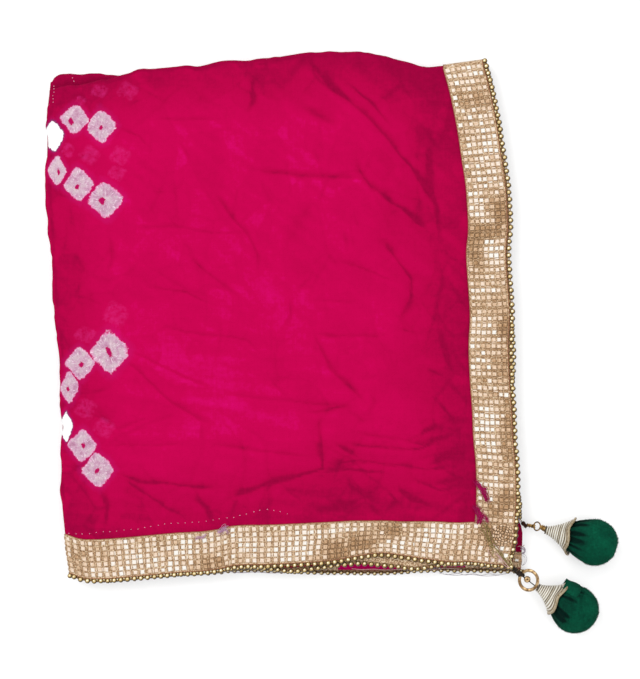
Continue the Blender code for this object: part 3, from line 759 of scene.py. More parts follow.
def blend_colour(tree, fac, a, b):
    made = node(tree, "ShaderNodeMix", {"data_type": "RGBA"}, _0=fac)
    for socket, value in ((made.inputs[6], a), (made.inputs[7], b)):
        if isinstance(value, bpy.types.NodeSocket):
            tree.links.new(value, socket)
        else:
            socket.default_value = paint(value)
    return made.outputs[2]


def noise_of(tree, per_metre, detail=2.0, roughness=0.5, where=None):
    """Noise in object space; per_metre is how many blobs fit in a metre."""
    spot = where or node(tree, "ShaderNodeTexCoord").outputs["Object"]
    made = node(tree, "ShaderNodeTexNoise", None, Vector=spot, Scale=per_metre, Detail=detail,
                Roughness=roughness)
    return made.outputs[0]


def bump(tree, height, distance, strength=1.0, under=None):
    made = node(tree, "ShaderNodeBump", None, Height=height, Distance=distance, Strength=strength)
    if under is not None:
        tree.links.new(under, made.inputs["Normal"])
    return made.outputs[0]


def cloth_material(settings):
    """Tie-dyed mulmul silk, woven and hand dyed: a matt saturated pink with painted shade
    in its creases, folds and lower layers, with ragged pale squares where the cloth was tied."""
    material, tree = new_material("tie_dyed_silk", settings.pink, 0.78, Specular_IOR_Level=0.02)
    # painted shade of the creases, folds and lower layers, with random mottle and slubs
    depth = attribute(tree, "painted_shade_and_mottle")
    for per_metre, detail, share in ((26.0, 4.0, 0.22), (260.0, 3.0, 0.28)):
        depth = plus(tree, depth, centred(tree, noise_of(tree, per_metre, detail, 0.6), share))
    spot = node(tree, "ShaderNodeTexCoord").outputs["Object"]
    for stretch in ((34.0, 520.0, 60.0), (520.0, 34.0, 60.0)):   # slubs along warp and weft
        along = node(tree, "ShaderNodeVectorMath", {"operation": "MULTIPLY"}, _0=spot,
                     _1=stretch).outputs[0]
        depth = plus(tree, depth, centred(tree, noise_of(tree, 1.0, 3.0, 0.6, along), 0.11))
    # lightest stop: the painted highlight on crease lips; darker stops: the painted shade
    colour = ramp(tree, times(tree, depth, 0.66), (0.0, "#d50468"), (0.12, settings.pink),
                  (0.42, "#b70045"), (0.68, settings.crease_shade_pink), (1.0, "#86002b"))

    # tied squares: a rounded square in its own coordinates, 1 at its ragged rim
    across, along, kind = node(tree, "ShaderNodeSeparateXYZ", None,
                               Vector=attribute(tree, "tie", "Vector")).outputs[:3]
    ragged = centred(tree, noise_of(tree, 330.0, 3.0, 0.65), 0.42)
    lumpy = centred(tree, noise_of(tree, 95.0, 1.0, 0.5), 0.34)
    powers = [calc(tree, "POWER", calc(tree, "ABSOLUTE", side), SQUARENESS)
              for side in (across, along)]
    radius = calc(tree, "POWER", plus(tree, *powers), 1 / SQUARENESS)
    radius = plus(tree, radius, plus(tree, ragged, lumpy))
    real = fade(tree, kind, 0.5, 0.95)
    bare = fade(tree, kind, 1.2, 1.8)
    seen_through = rest_of(tree, real)

    halo = times(tree, fade(tree, radius, 1.5, 1.0), real, 0.35)
    colour = blend_colour(tree, halo, colour, "#c21a78")
    undyed = ramp(tree, noise_of(tree, 150.0, 4.0, 0.62), (0.32, "#b8849f"), (0.45, "#cb9fb8"),
                  (0.56, "#cfb3c0"), (0.72, "#dcc0c9"))
    rim = times(tree, fade(tree, radius, 0.84, 0.99), 0.7)
    undyed = blend_colour(tree, rim, undyed, "#ee9fcd")
    angle = times(tree, calc(tree, "ARCTAN2", along, across), 2.2)
    spokes = node(tree, "ShaderNodeCombineXYZ", None, _0=angle, _1=times(tree, radius, 1.3),
                  _2=noise_of(tree, 40.0, 1.0)).outputs[0]
    fibre = noise_of(tree, 4.2, 3.0, 0.7, spokes)
    undyed = blend_colour(tree, times(tree, fade(tree, fibre, 0.57, 0.63), 0.92), undyed,
                          "#f6dcea")
    stained = fade(tree, fibre, 0.42, 0.34)
    undyed = blend_colour(tree, times(tree, stained, 0.70), undyed, "#b7709b")
    undyed = blend_colour(tree, bare, undyed, "#ffffff")
    middle = []
    for side, per_metre in ((across, 31.0), (along, 37.0)):   # the dot lies a little off centre
        wander = calc(tree, "MULTIPLY_ADD", noise_of(tree, per_metre, 0.0), 1.1, -0.50)
        middle.append(calc(tree, "SUBTRACT", side, wander))
    eye = calc(tree, "SQRT", plus(tree, *[times(tree, side, side) for side in middle]))
    eye = plus(tree, eye, times(tree, ragged, 1.1))
    dyed = rest_of(tree, bare)
    blush = times(tree, fade(tree, eye, 0.46, 0.24), times(tree, stained, 0.9), dyed)
    undyed = blend_colour(tree, blush, undyed, "#c8408c")
    undyed = blend_colour(tree, times(tree, fade(tree, eye, 0.23, 0.17), dyed), undyed,
                          "#b80a5a")
    veil = fade(tree, noise_of(tree, 230.0, 3.0, 0.7), 0.34, 0.66)
    ghost = times(tree, seen_through, veil, fade(tree, radius, 1.06, 0.70))
    strength = times(tree, calc(tree, "MINIMUM", kind, 1.0),
                     calc(tree, "MULTIPLY_ADD", ghost, 1.15, real))
    undyed = blend_colour(tree, seen_through, undyed, "#e0308c")
    cover = times(tree, fade(tree, radius, 1.04, 0.97), strength)
    colour = blend_colour(tree, cover, colour, undyed)
    outline = times(tree, calc(tree, "COMPARE", radius, 1.05, 0.07), bare, 0.65)
    colour = blend_colour(tree, outline, colour, "#7d2a68")

    # threads about 0.4 mm apart, drawn at 0.9 mm so that they still show
    weave = plus(tree, *[node(tree, "ShaderNodeTexWave", {"bands_direction": axis}, Vector=spot,
                              Scale=175.0, Distortion=2.2, Detail=2.0).outputs[1]
                         for axis in ("X", "Y")])
    normal = bump(tree, weave, 0.00004, 0.6)
    normal = bump(tree, noise_of(tree, 420.0, 3.0, 0.6), 0.00030, 0.9, normal)
    normal = bump(tree, noise_of(tree, 95.0, 3.0, 0.55), 0.0010, 0.8, normal)
    return finished(material, colour, normal)


def ribbon_material():
    """Woven net under the foil: brown-gold thread, dull beside the bright cells."""
    material, tree = new_material("woven_gold_net", "#9a7148", 0.55, Metallic=0.25)
    spot = node(tree, "ShaderNodeTexCoord").outputs["Object"]
    net = node(tree, "ShaderNodeTexVoronoi", None, Vector=spot, Scale=850.0).outputs[0]
    # lace_tone carries the painted light and shade of the waving lace
    spark = plus(tree, times(tree, noise_of(tree, 820.0, 1.0, 0.8), 1.6),
                 times(tree, attribute(tree, "lace_tone"), 0.5))
    colour = ramp(tree, spark, (0.50, "#7e5830"), (0.70, "#b48c5e"), (0.86, "#d6b48f"),
                  (1.0, "#f3dcb8"))
    return finished(material, colour, bump(tree, net, 0.0002, 0.8))


def foil_material(settings):
    """Pressed metal foil cells: cream to peach gold with painted near-white glints;
    each cell has its own tone, with painted light and shade where the lace waves,
    and a fine crinkle breaks the reflection."""
    material, tree = new_material("pressed_gold_foil", settings.foil, 0.36, Metallic=0.4)
    tone = plus(tree, attribute(tree, "cell_tone"),
                centred(tree, noise_of(tree, 520.0, 2.0, 0.6), 0.6))
    colour = ramp(tree, tone, (0.0, "#7c5a32"), (0.22, "#b68a5c"), (0.46, settings.foil),
                  (0.70, "#fbe6d2"), (0.92, "#fffaf2"))
    return finished(material, colour, bump(tree, noise_of(tree, 700.0, 2.0, 0.6), 0.00025, 0.7))


def bead_material(settings):
    """Gilt plastic beads: yellow gold, polished, with a painted pale highlight in the
    middle and painted olive brown shade at the rim and on one side.
    """
    material, tree = new_material("gilt_bead", settings.bead_gold, 0.25, Metallic=0.55)
    # painted shade at the rim and away from the light, painted highlight in the middle, random
    # mottle
    bead_shade_and_mottle = plus(tree, node(tree, "ShaderNodeLayerWeight", None, Blend=0.5).outputs[1],
                centred(tree, noise_of(tree, 400.0, 2.0), 0.5),
                times(tree, attribute(tree, "painted_bead_shade"), 0.75))
    colour = ramp(tree, bead_shade_and_mottle, (0.04, "#fff6da"), (0.17, "#dcc284"), (0.40, settings.bead_gold),
                  (0.74, "#43300f"))
    return finished(material, colour, bump(tree, noise_of(tree, 900.0, 2.0, 0.5), 0.00008, 0.4))


def thread_material(name, light, dark, roughness=0.7, metallic=0.0, per_metre=1500.0):
    """Spun thread: two tones of one colour that follow its fine twist."""
    material, tree = new_material(name, light, roughness, Metallic=metallic,
                                  Specular_IOR_Level=0.5 if metallic else 0.1)
    grain = noise_of(tree, per_metre, 2.0, 0.6)
    colour = ramp(tree, grain, (0.35, dark), (0.62, light))
    return finished(material, colour, bump(tree, grain, 0.0002, 0.7))


def velvet_material(settings):
    """Cut-pile velvet: patchy green where the pile leans this way and that, with painted
    shade, nearly black, in the gathers and beside the cap, and a soft sheen at the rim."""
    material, tree = new_material(
        "cut_pile_velvet", settings.velvet, 0.9, Sheen_Weight=0.12, Sheen_Roughness=0.4,
        Sheen_Tint=paint("#2f9f78"), Specular_IOR_Level=0.04)
    lean = noise_of(tree, 70.0, 3.0, 0.6)
    pile = noise_of(tree, 1300.0, 2.0, 0.6)
    value = plus(tree, times(tree, lean, 0.6), times(tree, pile, 0.35),
                 centred(tree, noise_of(tree, 380.0, 3.0, 0.7), 0.5))
    # painted shade, nearly black, in the gathers and beside the cap
    value = calc(tree, "SUBTRACT", value, times(tree, attribute(tree, "painted_pile_shade"), 0.8))
    colour = ramp(tree, value, (0.05, "#02201a"), (0.40, settings.velvet), (0.66, "#086246"))
    return finished(material, colour, bump(tree, pile, 0.0005, 0.8))


def cap_material(settings):
    """Zari thread wound on a cone: champagne metallic thread, ring by ring, with painted
    light and shade on the windings and small brown flecks of glue towards the rim."""
    material, tree = new_material("wound_zari_thread", settings.champagne, 0.42, Metallic=0.2)
    grain = noise_of(tree, 1100.0, 2.0, 0.7)
    # wound carries the painted light and shade of the windings
    value = plus(tree, calc(tree, "MULTIPLY_ADD", attribute(tree, "wound"), 0.66, -0.08),
                 times(tree, grain, 0.7))
    colour = ramp(tree, value, (0.26, "#5a4d38"), (0.46, "#a99a80"), (0.64, settings.champagne),
                  (0.86, "#fffcf2"))
    rim = attribute(tree, "rim_share")
    flecks = times(tree, fade(tree, noise_of(tree, 420.0, 1.0, 0.4), 0.58, 0.64), rim)
    colour = blend_colour(tree, flecks, colour, "#6b4a25")
    colour = blend_colour(tree, times(tree, rim, 0.5), colour, "#a58c5c")
    return finished(material, colour, bump(tree, grain, 0.00015, 0.7))


def metal_material(name, light, dark, roughness):
    """Gilt wire: drawn brass with a worn gold wash."""
    material, tree = new_material(name, light, roughness, Metallic=1.0)
    colour = ramp(tree, noise_of(tree, 350.0, 3.0, 0.6), (0.36, dark), (0.6, light))
    return finished(material, colour, bump(tree, noise_of(tree, 800.0, 2.0, 0.5), 0.0001, 0.4))


# cloth
def stations(shown, hidden, bend):
    """Rows along the cloth: (strip, v, bend angle or None)."""
    rows = []
    for strip in range(1, STRIPS + 1):
        count = shown if strip == 1 else hidden
        along = np.linspace(0, 1, count + 1)
        if strip == 4:                # closer rows where the lowest layer juts out
            along = np.sort(np.append(along, (0.018, 0.028, 0.072, 0.086)))
        if strip % 2 == 0:
            along = along[::-1]
        rows += [(strip, float(v), None) for v in along]
        if strip < STRIPS:
            for i in range(1, bend):
                turn = math.pi / 2 - math.pi * i / bend
                rows.append((strip, float(along[-1]), turn if strip % 2 else -turn))
    return rows


def tied_coordinates(x, y):
    """Position in the nearest tied square and its kind, for face corners."""
    centre_x = x.mean(1)
    centre_y = y.mean(1)
    best = np.full(len(x), 9.0)
    result = np.zeros((len(x), 4, 3))
    result[..., 0] = 5.0
    for sx, sy, wide, high, turn, kind in SQUARES:
        angle = math.radians(turn)
        scale_x, scale_y = SQUARE_SPAN / wide, SQUARE_SPAN / high

        def local(px, py):
            dx, dy = (px - sx) * scale_x, (py - sy) * scale_y
            return (dx * math.cos(angle) + dy * math.sin(angle),
                    dy * math.cos(angle) - dx * math.sin(angle))
        cx, cy = local(centre_x, centre_y)
        reach = np.maximum(np.abs(cx), np.abs(cy)) + (0.6 if kind == SEEN_THROUGH else 0.0)
        nearer = reach < best
        best = np.where(nearer, reach, best)
        lx, ly = local(x, y)
        chosen = np.stack((lx, ly, np.full(lx.shape, kind)), -1)
        result[nearer] = chosen[nearer]
    return result


def make_cloth(settings):
    """Upper sheet, left fold and under sheet of all four strips, as one grid."""
    cols_up = np.linspace(1, 0, COLS_SHOWN + 1)
    tucks = np.linspace(0, math.pi, 11)[1:-1]
    cols_down = np.concatenate((np.linspace(0, 0.9, 12), np.linspace(0.915, 1, 6)))
    layout = stations(ROWS_SHOWN, HIDDEN_ROWS, FOLD_STEPS)
    rows = []
    for strip, v, turn in layout:
        jut = 0.0
        if strip == 4 and turn is None and 0.02 < v < 0.08:
            jut = JUT * smooth((cols_up - 0.94) / 0.05)
        up = surface(strip, UPPER, cols_up, v, SHEET_OFFSET, turn, reach=jut)
        fold = surface(strip, UPPER, 0.0, np.full(len(tucks), v), SHEET_OFFSET, turn, tucks)
        down = surface(strip, UNDER, cols_down, v, SHEET_OFFSET, turn)
        rows.append(np.concatenate((up, fold, down)))
    points = np.array(rows)
    count, size = points.shape[:2]
    faces = grid_faces(count, size)
    piece = add_piece("bandhani_cloth_sheet", points, faces, cloth_material(settings),
                      ("bandhani_cloth",), "pink_cloth")

    x, y = outline_of(points.reshape(-1, 3))
    painted_crease_shade = look(PAINTED_SHADE_MAP, x, y)
    from_left = x - curve(LEFT_FOLD, y)
    from_top = y - curve(TOP_UPPER, x)
    seam = seam_distance(x, y)
    hem = np.where(x < 300, y - np.interp(x, *zip(*HEM_LINES[0][1])), -9)
    # painted shade of the creases, darker below the hem line and towards the right
    tone = 0.17 + painted_crease_shade + 0.06 * smooth(hem / 4) + 0.11 * smooth((x - 240) / 130)
    # painted shade towards the left fold, the cross fold and the lace, and random mottle
    edges = np.stack((0.52 * (1 - smooth(from_left / 75)), 0.58 * (1 - smooth(from_top / 80)),
                      0.47 * (1 - smooth((seam - 38) / 110))))
    tone += 0.75 * edges.max(0) + 0.25 * edges.sum(0) + 0.07 * lattice_noise(x, y, 60, 21)
    # a thin line of painted shade beside each of the two folds
    folds = np.exp(-((from_top - 4.5 - 2.5 * lattice_noise(x, y * 0, 24, 91)) / 1.3) ** 2)
    tone += 0.30 * folds * smooth(0.5 + 1.5 * lattice_noise(x, y * 0, 17, 93))
    folds = np.exp(-((from_left - 4.0 - 2.0 * lattice_noise(y, y * 0, 27, 95)) / 1.3) ** 2)
    tone += 0.26 * folds * smooth(0.4 + 1.5 * lattice_noise(y, y * 0, 19, 97))
    top_rows = np.array([row[0] == 1 and row[2] is None for row in layout])
    tone = tone.reshape(count, size)
    lowest = np.array([row[0] == 4 for row in layout])
    # painted shade on the layers below the top one, none where the lowest shows bright pink
    tone[~top_rows] += BELOW_PAINTED_SHADE
    bright = ((x > 330) & (x < 500)).reshape(tone.shape)[lowest]
    tone[lowest] = np.where(bright, 0.0, tone[lowest])
    paint_points(piece, "painted_shade_and_mottle", np.clip(tone, 0, 0.90))

    index = np.array(faces)
    corners = tied_coordinates(x[index], y[index])
    outer = np.zeros((count - 1, size - 1), bool)
    seen_rows = np.array([row[0] in (1, 4) for row in layout[:-1]])
    outer[seen_rows, :COLS_SHOWN + 6] = True
    corners[~outer.ravel()] = (5.0, 5.0, 0.0)
    layer = piece.data.attributes.new("tie", "FLOAT_VECTOR", "CORNER")
    layer.data.foreach_set("vector", corners.astype(np.float32).ravel())
    return piece


def make_stitches():
    """Small running stitches that show as pale dots on the pink."""
    rng = random.Random(5)
    ring = [(math.cos(a), math.sin(a)) for a in circle(8)]
    points, faces = [], []
    for pitch, line in HEM_LINES:
        for (x, y), (dx, dy) in walk(line, pitch):
            x += rng.uniform(-0.5, 0.5)
            y += rng.uniform(-0.4, 0.4)
            length = rng.uniform(0.45, 0.75) * MM
            base = on_top(x, y)
            start = len(points)
            for share, lift in ((1.0, -0.05), (0.75, 0.22), (0.3, 0.34)):
                for c, s in ring:
                    along, across = c * length * share, s * 0.42 * MM * share
                    points.append((base[0] + dx * along - dy * across,
                                   base[1] - dy * along - dx * across,
                                   base[2] + lift * MM))
            faces += grid_faces(3, 8, close_cols=True, start=start)
            faces.append(tuple(start + 16 + i for i in range(8)))
            faces.append(tuple(start + i for i in range(7, -1, -1)))
    material = thread_material("polyester_stitch", "#f3b9cf", "#d9709c", 0.6)
    return add_piece("hem_stitches", points, faces, material)


def walk(line, pitch):
    """Evenly spaced spots and directions along a drawn line."""
    found, carry = [], 0.0
    for (ax, ay), (bx, by) in zip(line, line[1:]):
        span = math.hypot(bx - ax, by - ay)
        dx, dy = (bx - ax) / span, (by - ay) / span
        at = carry
        while at < span:
            found.append(((ax + dx * at, ay + dy * at), (dx, dy)))
            at += pitch
        carry = at - span
    return found


def on_top(x, y):
    """Point of the uppermost sheet above an outline position."""
    half, pitch, lace, factor = levels(x, y)
    z = half * 2 + CLOTH_T / 2 + lace + (STRIPS - 1) * pitch + SHEET_OFFSET
    return ((x - ORIGIN_X) * UNIT, (ORIGIN_Y - y) * UNIT, float(z * factor))


# lace and beads
def right_span(strip, side):
    """Outline y of the lower and the upper end of a sheet's right edge."""
    corners = CORNERS[(strip, side)]
    return corners[1][1], corners[3][1]


def bottom_span(strip, side):
    """Outline x of the left and the right end of a sheet's bottom edge."""
    corners = CORNERS[(strip, side)]
    return corners[0][0], corners[1][0]


def far_fold(strip):
    """v of the fold at the far end of a strip, and the sign of its bend."""
    return (1.0, 1) if strip % 2 else (0.0, -1)


def outermost(strip, side):
    """True where a sheet is the outer one round the strip's far fold."""
    return (strip % 2 == 1) == (side == UPPER)


def make_ribbon(name, rings, material, replaced):
    piece = add_grid(name, rings, material, replaced, "gold_lace")
    # painted light and shade of the waving lace on the net
    tone = lace_light_and_shade(*outline_of(np.array(rings)))    # never as bright as the foil
    paint_points(piece, "lace_tone", np.minimum(tone, 0.05) - 0.07)
    return piece


def side_ribbon(side):
    """Rows of points of the ribbon down one long side, strip after strip."""
    rings = []
    shares = np.linspace(0, 1, 9)
    for strip, v, turn in stations(150, 60, 8):
        start = np.zeros(len(shares))
        if strip in END_LACE and turn is None:
            start = shares * LACE_W / sheet_length(strip, side, 1.0)
        w = np.where(v >= SEAM_V, v, mix(start, SEAM_V, min(v / SEAM_V, 1.0)))
        if turn is not None or strip not in END_LACE:
            w = np.full(len(shares), v)
        u = 1 - shares * LACE_W / sheet_width(strip, side, w)
        tucked = strip == 4 and side == UPPER and turn is None and v < 0.2
        rings.append(surface(strip, side, u, w, RIBBON_OFFSET, turn,
                             reach=-TUCK_IN if tucked else 0.0, ruffled=True))
    return rings


def end_ribbon(strip):
    """Rows of points of the ribbon along one short end, round the left fold."""
    rings = []
    shares = np.linspace(0, 1, 9)
    for side in (UPPER, UNDER):
        us = np.linspace(1, 0, 110) if side == UPPER else np.linspace(0, 1, 80)
        if side == UNDER:
            for tuck in np.linspace(0, math.pi, 9)[1:-1]:
                v = shares * LACE_W / sheet_length(strip, UPPER, 0.0)
                rings.append(surface(strip, UPPER, 0.0, v, RIBBON_OFFSET, tuck=tuck))
        for u in us:
            start = shares * LACE_W / sheet_width(strip, side, 0.0)
            w = np.minimum(u, 1 - start)
            v = shares * LACE_W / sheet_length(strip, side, w)
            v = v * lace_share(strip, side, sheet_point(strip, side, w, 0.0)[0])
            rings.append(surface(strip, side, w, v, RIBBON_OFFSET, ruffled=True))
    return rings


def tape_row(point):
    """Inner edge, middle and outer edge of the tape that carries the beads; point
    gives a place on it from its reach past the lace."""
    inner, outer = point(-0.6 * MM), point(2.5 * MM)
    return [inner, (inner + outer) / 2 + [0, 0, 0.15 * MM], outer]


def side_tape(side):
    return [tape_row(lambda reach: surface(strip, side, 1.0, v, 0.1 * MM, turn, reach=reach))
            for strip, v, turn in stations(120, 40, 6)
            if not (strip == 4 and turn is None and v < 0.13)]


def end_tape(strip):
    return [tape_row(lambda reach: surface(strip, side, u, 0.0, 0.1 * MM, drop=reach))
            for side in (UPPER, UNDER)
            for u in (np.linspace(1, 0, 90) if side == UPPER else np.linspace(0, 1, 90))]


# one foil cell: (across, along, lift), shares of its half sizes and millimetres
CELL = ([(a, b, 0.0) for a, b in ((-1, -1), (1, -1), (1, 1), (-1, 1))]
        + [(a * 0.80, b * 0.80, 0.42) for a, b in ((-1, -1), (1, -1), (1, 1), (-1, 1))]
        + [(0.0, 0.0, 0.55)])
CELL_HALF_ACROSS = 2.18       # outline units
CELL_HALF_ALONG = 2.2
CELL_BORDER = -0.32           # the foil is stitched down and dull round its edge
BAR_HALF_ALONG = 0.66         # narrow bar of foil between two rows of cells
CELL_FACES = [(0, 1, 5, 4), (1, 2, 6, 5), (2, 3, 7, 6), (3, 0, 4, 7),
              (4, 5, 8), (5, 6, 8), (6, 7, 8), (7, 4, 8)]
GATHER = (503.0, 535.0, 10.2)   # middle and size of the gathered rosette at the corner
CELL_COLUMNS = 7
CELL_PITCH = 7.0              # outline units along the lace
CELL_ACROSS = 5.22            # outline units from column to column


def cell_block(evaluate, along, across, rng, half_along=CELL_HALF_ALONG):
    """Cell corners for every place; evaluate maps (along, across, lift) to points."""
    count = len(along)
    grow = rng.uniform(0.84, 1.05, (count, 1))
    turn = rng.normal(0, 0.06, (count, 1))
    tilt = rng.normal(0, 0.12, (count, 2)) * MM
    p, q, rise = np.array(CELL).T[:, None]
    a = p * CELL_HALF_ACROSS * grow
    b = q * half_along * grow
    a, b = a * np.cos(turn) - b * np.sin(turn), a * np.sin(turn) + b * np.cos(turn)
    lift = rise * MM + 0.22 * MM + np.maximum(0, tilt[:, :1] * p + tilt[:, 1:] * q)
    return evaluate(along[:, None] + b, across[:, None] + a, lift)


def in_gather(x, y):
    """True where a cell of the uppermost lace would lie in the gathered rosette."""
    return np.hypot(x - GATHER[0], y - GATHER[1]) < GATHER[2]


def cell_places(rows, rng, keep=None):
    """Rows and columns of cells with a little unevenness."""
    along, across = np.meshgrid(rows, (np.arange(CELL_COLUMNS) + 0.5) * CELL_ACROSS + 1.2,
                                indexing="ij")
    sway = 0.5 * lattice_noise(along, across, 11, 57)
    along = along.ravel() + sway.ravel() + rng.normal(0, 0.16, along.size)
    across = across.ravel() + rng.normal(0, 0.12, across.size)
    if keep is not None:
        good = keep(along, across)
        along, across = along[good], across[good]
    return along, across


def layer_cells(evaluate, rows, rng, keep):
    """Rows of cells with narrow bars between them, and a tone for each."""
    blocks, tones = [], []
    for shift, half, darker in ((0.0, CELL_HALF_ALONG, 0.0),
                                (CELL_PITCH / 2, BAR_HALF_ALONG, 0.38)):
        along, across = cell_places(rows + shift, rng, keep)
        block = cell_block(evaluate, along, across, rng, half)
        blocks.append(block)
        tones.append(cell_tones(*outline_of(block[:, 8]), rng) - darker)
    return blocks, tones


def side_cells(side, rng):
    """Foil cells down one long side, over every layer it runs along."""
    blocks, tones = [], []
    for strip in range(1, STRIPS + 1):
        low, high = right_span(strip, side)
        rows = np.arange(high + 1.5, low - 4.5, CELL_PITCH)
        keep = None
        if strip in END_LACE:
            def keep(along, across, low=low, top=strip == 1 and side == UPPER):
                x = right_edge(along, SHIFT_NONE) - across
                return (low - along > across + 1.0) & ~(top & in_gather(x, along))

        def evaluate(y, back, lift, strip=strip, low=low, high=high):
            v = np.clip((low - y) / (low - high), 0, 1)
            u = 1 - back * UNIT / sheet_width(strip, side, v)
            return surface(strip, side, u, v, LACE_IN + lift, ruffled=True)
        more, more_tones = layer_cells(evaluate, rows, rng, keep)
        blocks += more
        tones += more_tones
    for strip in range(1, STRIPS):
        if not outermost(strip, side):
            continue
        v_end, sign = far_fold(strip)
        along, across = cell_places(np.array([-FOLD_SPOT, FOLD_SPOT]), rng)

        def evaluate(turn, back, lift, strip=strip, v_end=v_end, sign=sign):
            angle = np.sign(turn) * 0.80 + (turn - np.sign(turn) * FOLD_SPOT) * 0.21
            u = 1 - back * UNIT / sheet_width(strip, side, v_end)
            return surface(strip, side, u, np.full(u.shape, v_end), LACE_IN + lift,
                           turn=angle * sign)
        blocks.append(cell_block(evaluate, along, across, rng))
        tones.append(rng.uniform(0.2, 0.8, len(along)))
    return np.concatenate(blocks), np.concatenate(tones)


def end_cells(strip, rng):
    """Foil cells along one short end, on both sheets and round the left fold."""
    blocks, tones = [], []
    for side in (UPPER, UNDER):
        left, right = bottom_span(strip, side)
        rows = np.arange(left + 1.5, right - 4.5, CELL_PITCH)

        def keep(along, across, right=right, top=strip == 1 and side == UPPER):
            y = curve(BOTTOM_BEADS, along) - BEAD_BACK - across
            return (right - along > across + 1.0) & ~(top & in_gather(along, y))

        def evaluate(x, up, lift, side=side, left=left, right=right):
            u = np.clip((x - left) / (right - left), 0, 1)
            v = up * lace_share(strip, side, x) * UNIT / sheet_length(strip, side, u)
            return surface(strip, side, u, v, LACE_IN + lift, ruffled=True)
        more, more_tones = layer_cells(evaluate, rows, rng, keep)
        blocks += more
        tones += more_tones
    along, across = cell_places(np.array([0.0]), rng)

    def evaluate_fold(turn, up, lift):
        angle = math.pi / 2 + turn * 0.33
        v = up * UNIT / sheet_length(strip, UPPER, 0.0)
        return surface(strip, UPPER, np.zeros(v.shape), v, LACE_IN + lift, tuck=angle)
    blocks.append(cell_block(evaluate_fold, along, across, rng))
    tones.append(rng.uniform(0.2, 0.7, len(along)))
    return np.concatenate(blocks), np.concatenate(tones)


def cell_tones(x, y, rng):
    """Painted light and shade where the lace waves, a random tone for each cell, and
    single painted glints.
    """
    tone = 0.57 + lace_light_and_shade(x, y) + rng.normal(0, 0.11, len(x))
    # painted highlight: single near-white glints
    painted_glint = rng.uniform(0, 1, len(x)) > 0.90
    return np.where(painted_glint, tone + 0.30, tone)


def lace_light_and_shade(x, y):
    # painted light and shade of the waving lace, from noise and the listed stretches
    patch = lattice_noise(x, y, 19, 61) * 0.12 + lattice_noise(x, y, 7, 63) * 0.10
    for cx, cy, wide, high, strength in LACE_LIGHT_AND_SHADE:
        patch = patch + strength * np.exp(-((x - cx) / wide) ** 2 - ((y - cy) / high) ** 2)
    return patch


def add_cells(name, blocks, tones, material):
    piece = add_piece(name, blocks, copies(9, CELL_FACES, len(blocks)), material, (),
                      "gold_lace", soft=False)
    border = np.array([CELL_BORDER] * 4 + [0.0] * 5)
    tones = np.clip(tones, 0.24, 1)[:, None] + border
    paint_points(piece, "cell_tone", np.clip(tones, 0, 1))
    return piece


def tube(path, radius, sides=6):
    """Points and faces of a tube along a path, closed at both ends."""
    path = np.asarray(path, float)
    ahead = np.gradient(path, axis=0)
    ahead /= np.maximum(np.linalg.norm(ahead, axis=1, keepdims=True), 1e-12)
    up = np.array([0.0, 0.0, 1.0])
    side = np.cross(ahead, up)
    weak = np.linalg.norm(side, axis=1) < 0.2
    side[weak] = np.cross(ahead[weak], [0.0, 1.0, 0.0]) + np.cross(ahead[weak], [1.0, 0, 0]) * 0.01
    side /= np.maximum(np.linalg.norm(side, axis=1, keepdims=True), 1e-12)
    for i in range(1, len(side)):
        if np.dot(side[i], side[i - 1]) < 0:
            side[i] = -side[i]
    top = np.cross(side, ahead)
    turn = circle(sides)
    radius = np.broadcast_to(radius, len(path))[:, None, None]
    ring = np.cos(turn)[None, :, None] * side[:, None] + np.sin(turn)[None, :, None] * top[:, None]
    points = (path[:, None] + ring * radius).reshape(-1, 3)
    faces = grid_faces(len(path), sides, close_cols=True)
    faces.append(tuple(range(sides - 1, -1, -1)))
    last = (len(path) - 1) * sides
    faces.append(tuple(last + i for i in range(sides)))
    return points, faces


def join_parts(parts):
    """One set of points and faces from several."""
    points, faces = [], []
    start = 0
    for more, shapes in parts:
        points.append(np.asarray(more).reshape(-1, 3))
        faces += [tuple(i + start for i in face) for face in shapes]
        start += len(points[-1])
    return np.concatenate(points), faces


def lace_cords(rings, radius):
    """Fine twisted cords along both edges of a ribbon."""
    grid = np.array(rings)
    return join_parts([tube(grid[:, column], radius, 5) for column in (0, -1)])


def bead_ball(segments=10, rings=7):
    """Unit ball with small end holes closed."""
    points = [(0, 0, 1)]
    for i in range(1, rings):
        polar = math.pi * i / rings
        for j in range(segments):
            turn = 2 * math.pi * j / segments
            points.append((math.sin(polar) * math.cos(turn), math.sin(polar) * math.sin(turn),
                           math.cos(polar)))
    points.append((0, 0, -1))
    faces = [(0, 1 + j, 1 + (j + 1) % segments) for j in range(segments)]
    for i in range(rings - 2):
        a, b = 1 + i * segments, 1 + (i + 1) * segments
        for j in range(segments):
            k = (j + 1) % segments
            faces.append((a + j, b + j, b + k, a + k))
    last = len(points) - 1
    a = 1 + (rings - 2) * segments
    faces += [(last, a + (j + 1) % segments, a + j) for j in range(segments)]
    return np.array(points), faces


BEAD_POINTS, BEAD_FACES = bead_ball()
BEAD_PITCH = 6.68             # outline units between bead middles along the ends
SIDE_BEAD_PITCH = 7.0         # and along the sides
BEAD_RADIUS = 2.3 * MM
TOP_BEAD_RADIUS = 2.6 * MM    # beads of the uppermost line, which are a size larger
SHADED_SIDE = (0.66, -0.62, -0.30)   # side of the beads that gets painted shade, away from the light
FLAT_HIGHEST = 19.4 * MM      # middles of the uppermost and the lowest line, unlifted
FLAT_LOWEST = 1.1 * MM
TOP_LINE = 16.5 * MM          # beads above this height are of the uppermost line


def lifted(points):
    """Bead middles moved up so that the lowest line clears the floor."""
    share = (points[:, 2] - FLAT_LOWEST) / (FLAT_HIGHEST - FLAT_LOWEST)
    points[:, 2] = EDGE_Z + share * (FLAT_HIGHEST + 0.2 * MM - EDGE_Z)
    return points


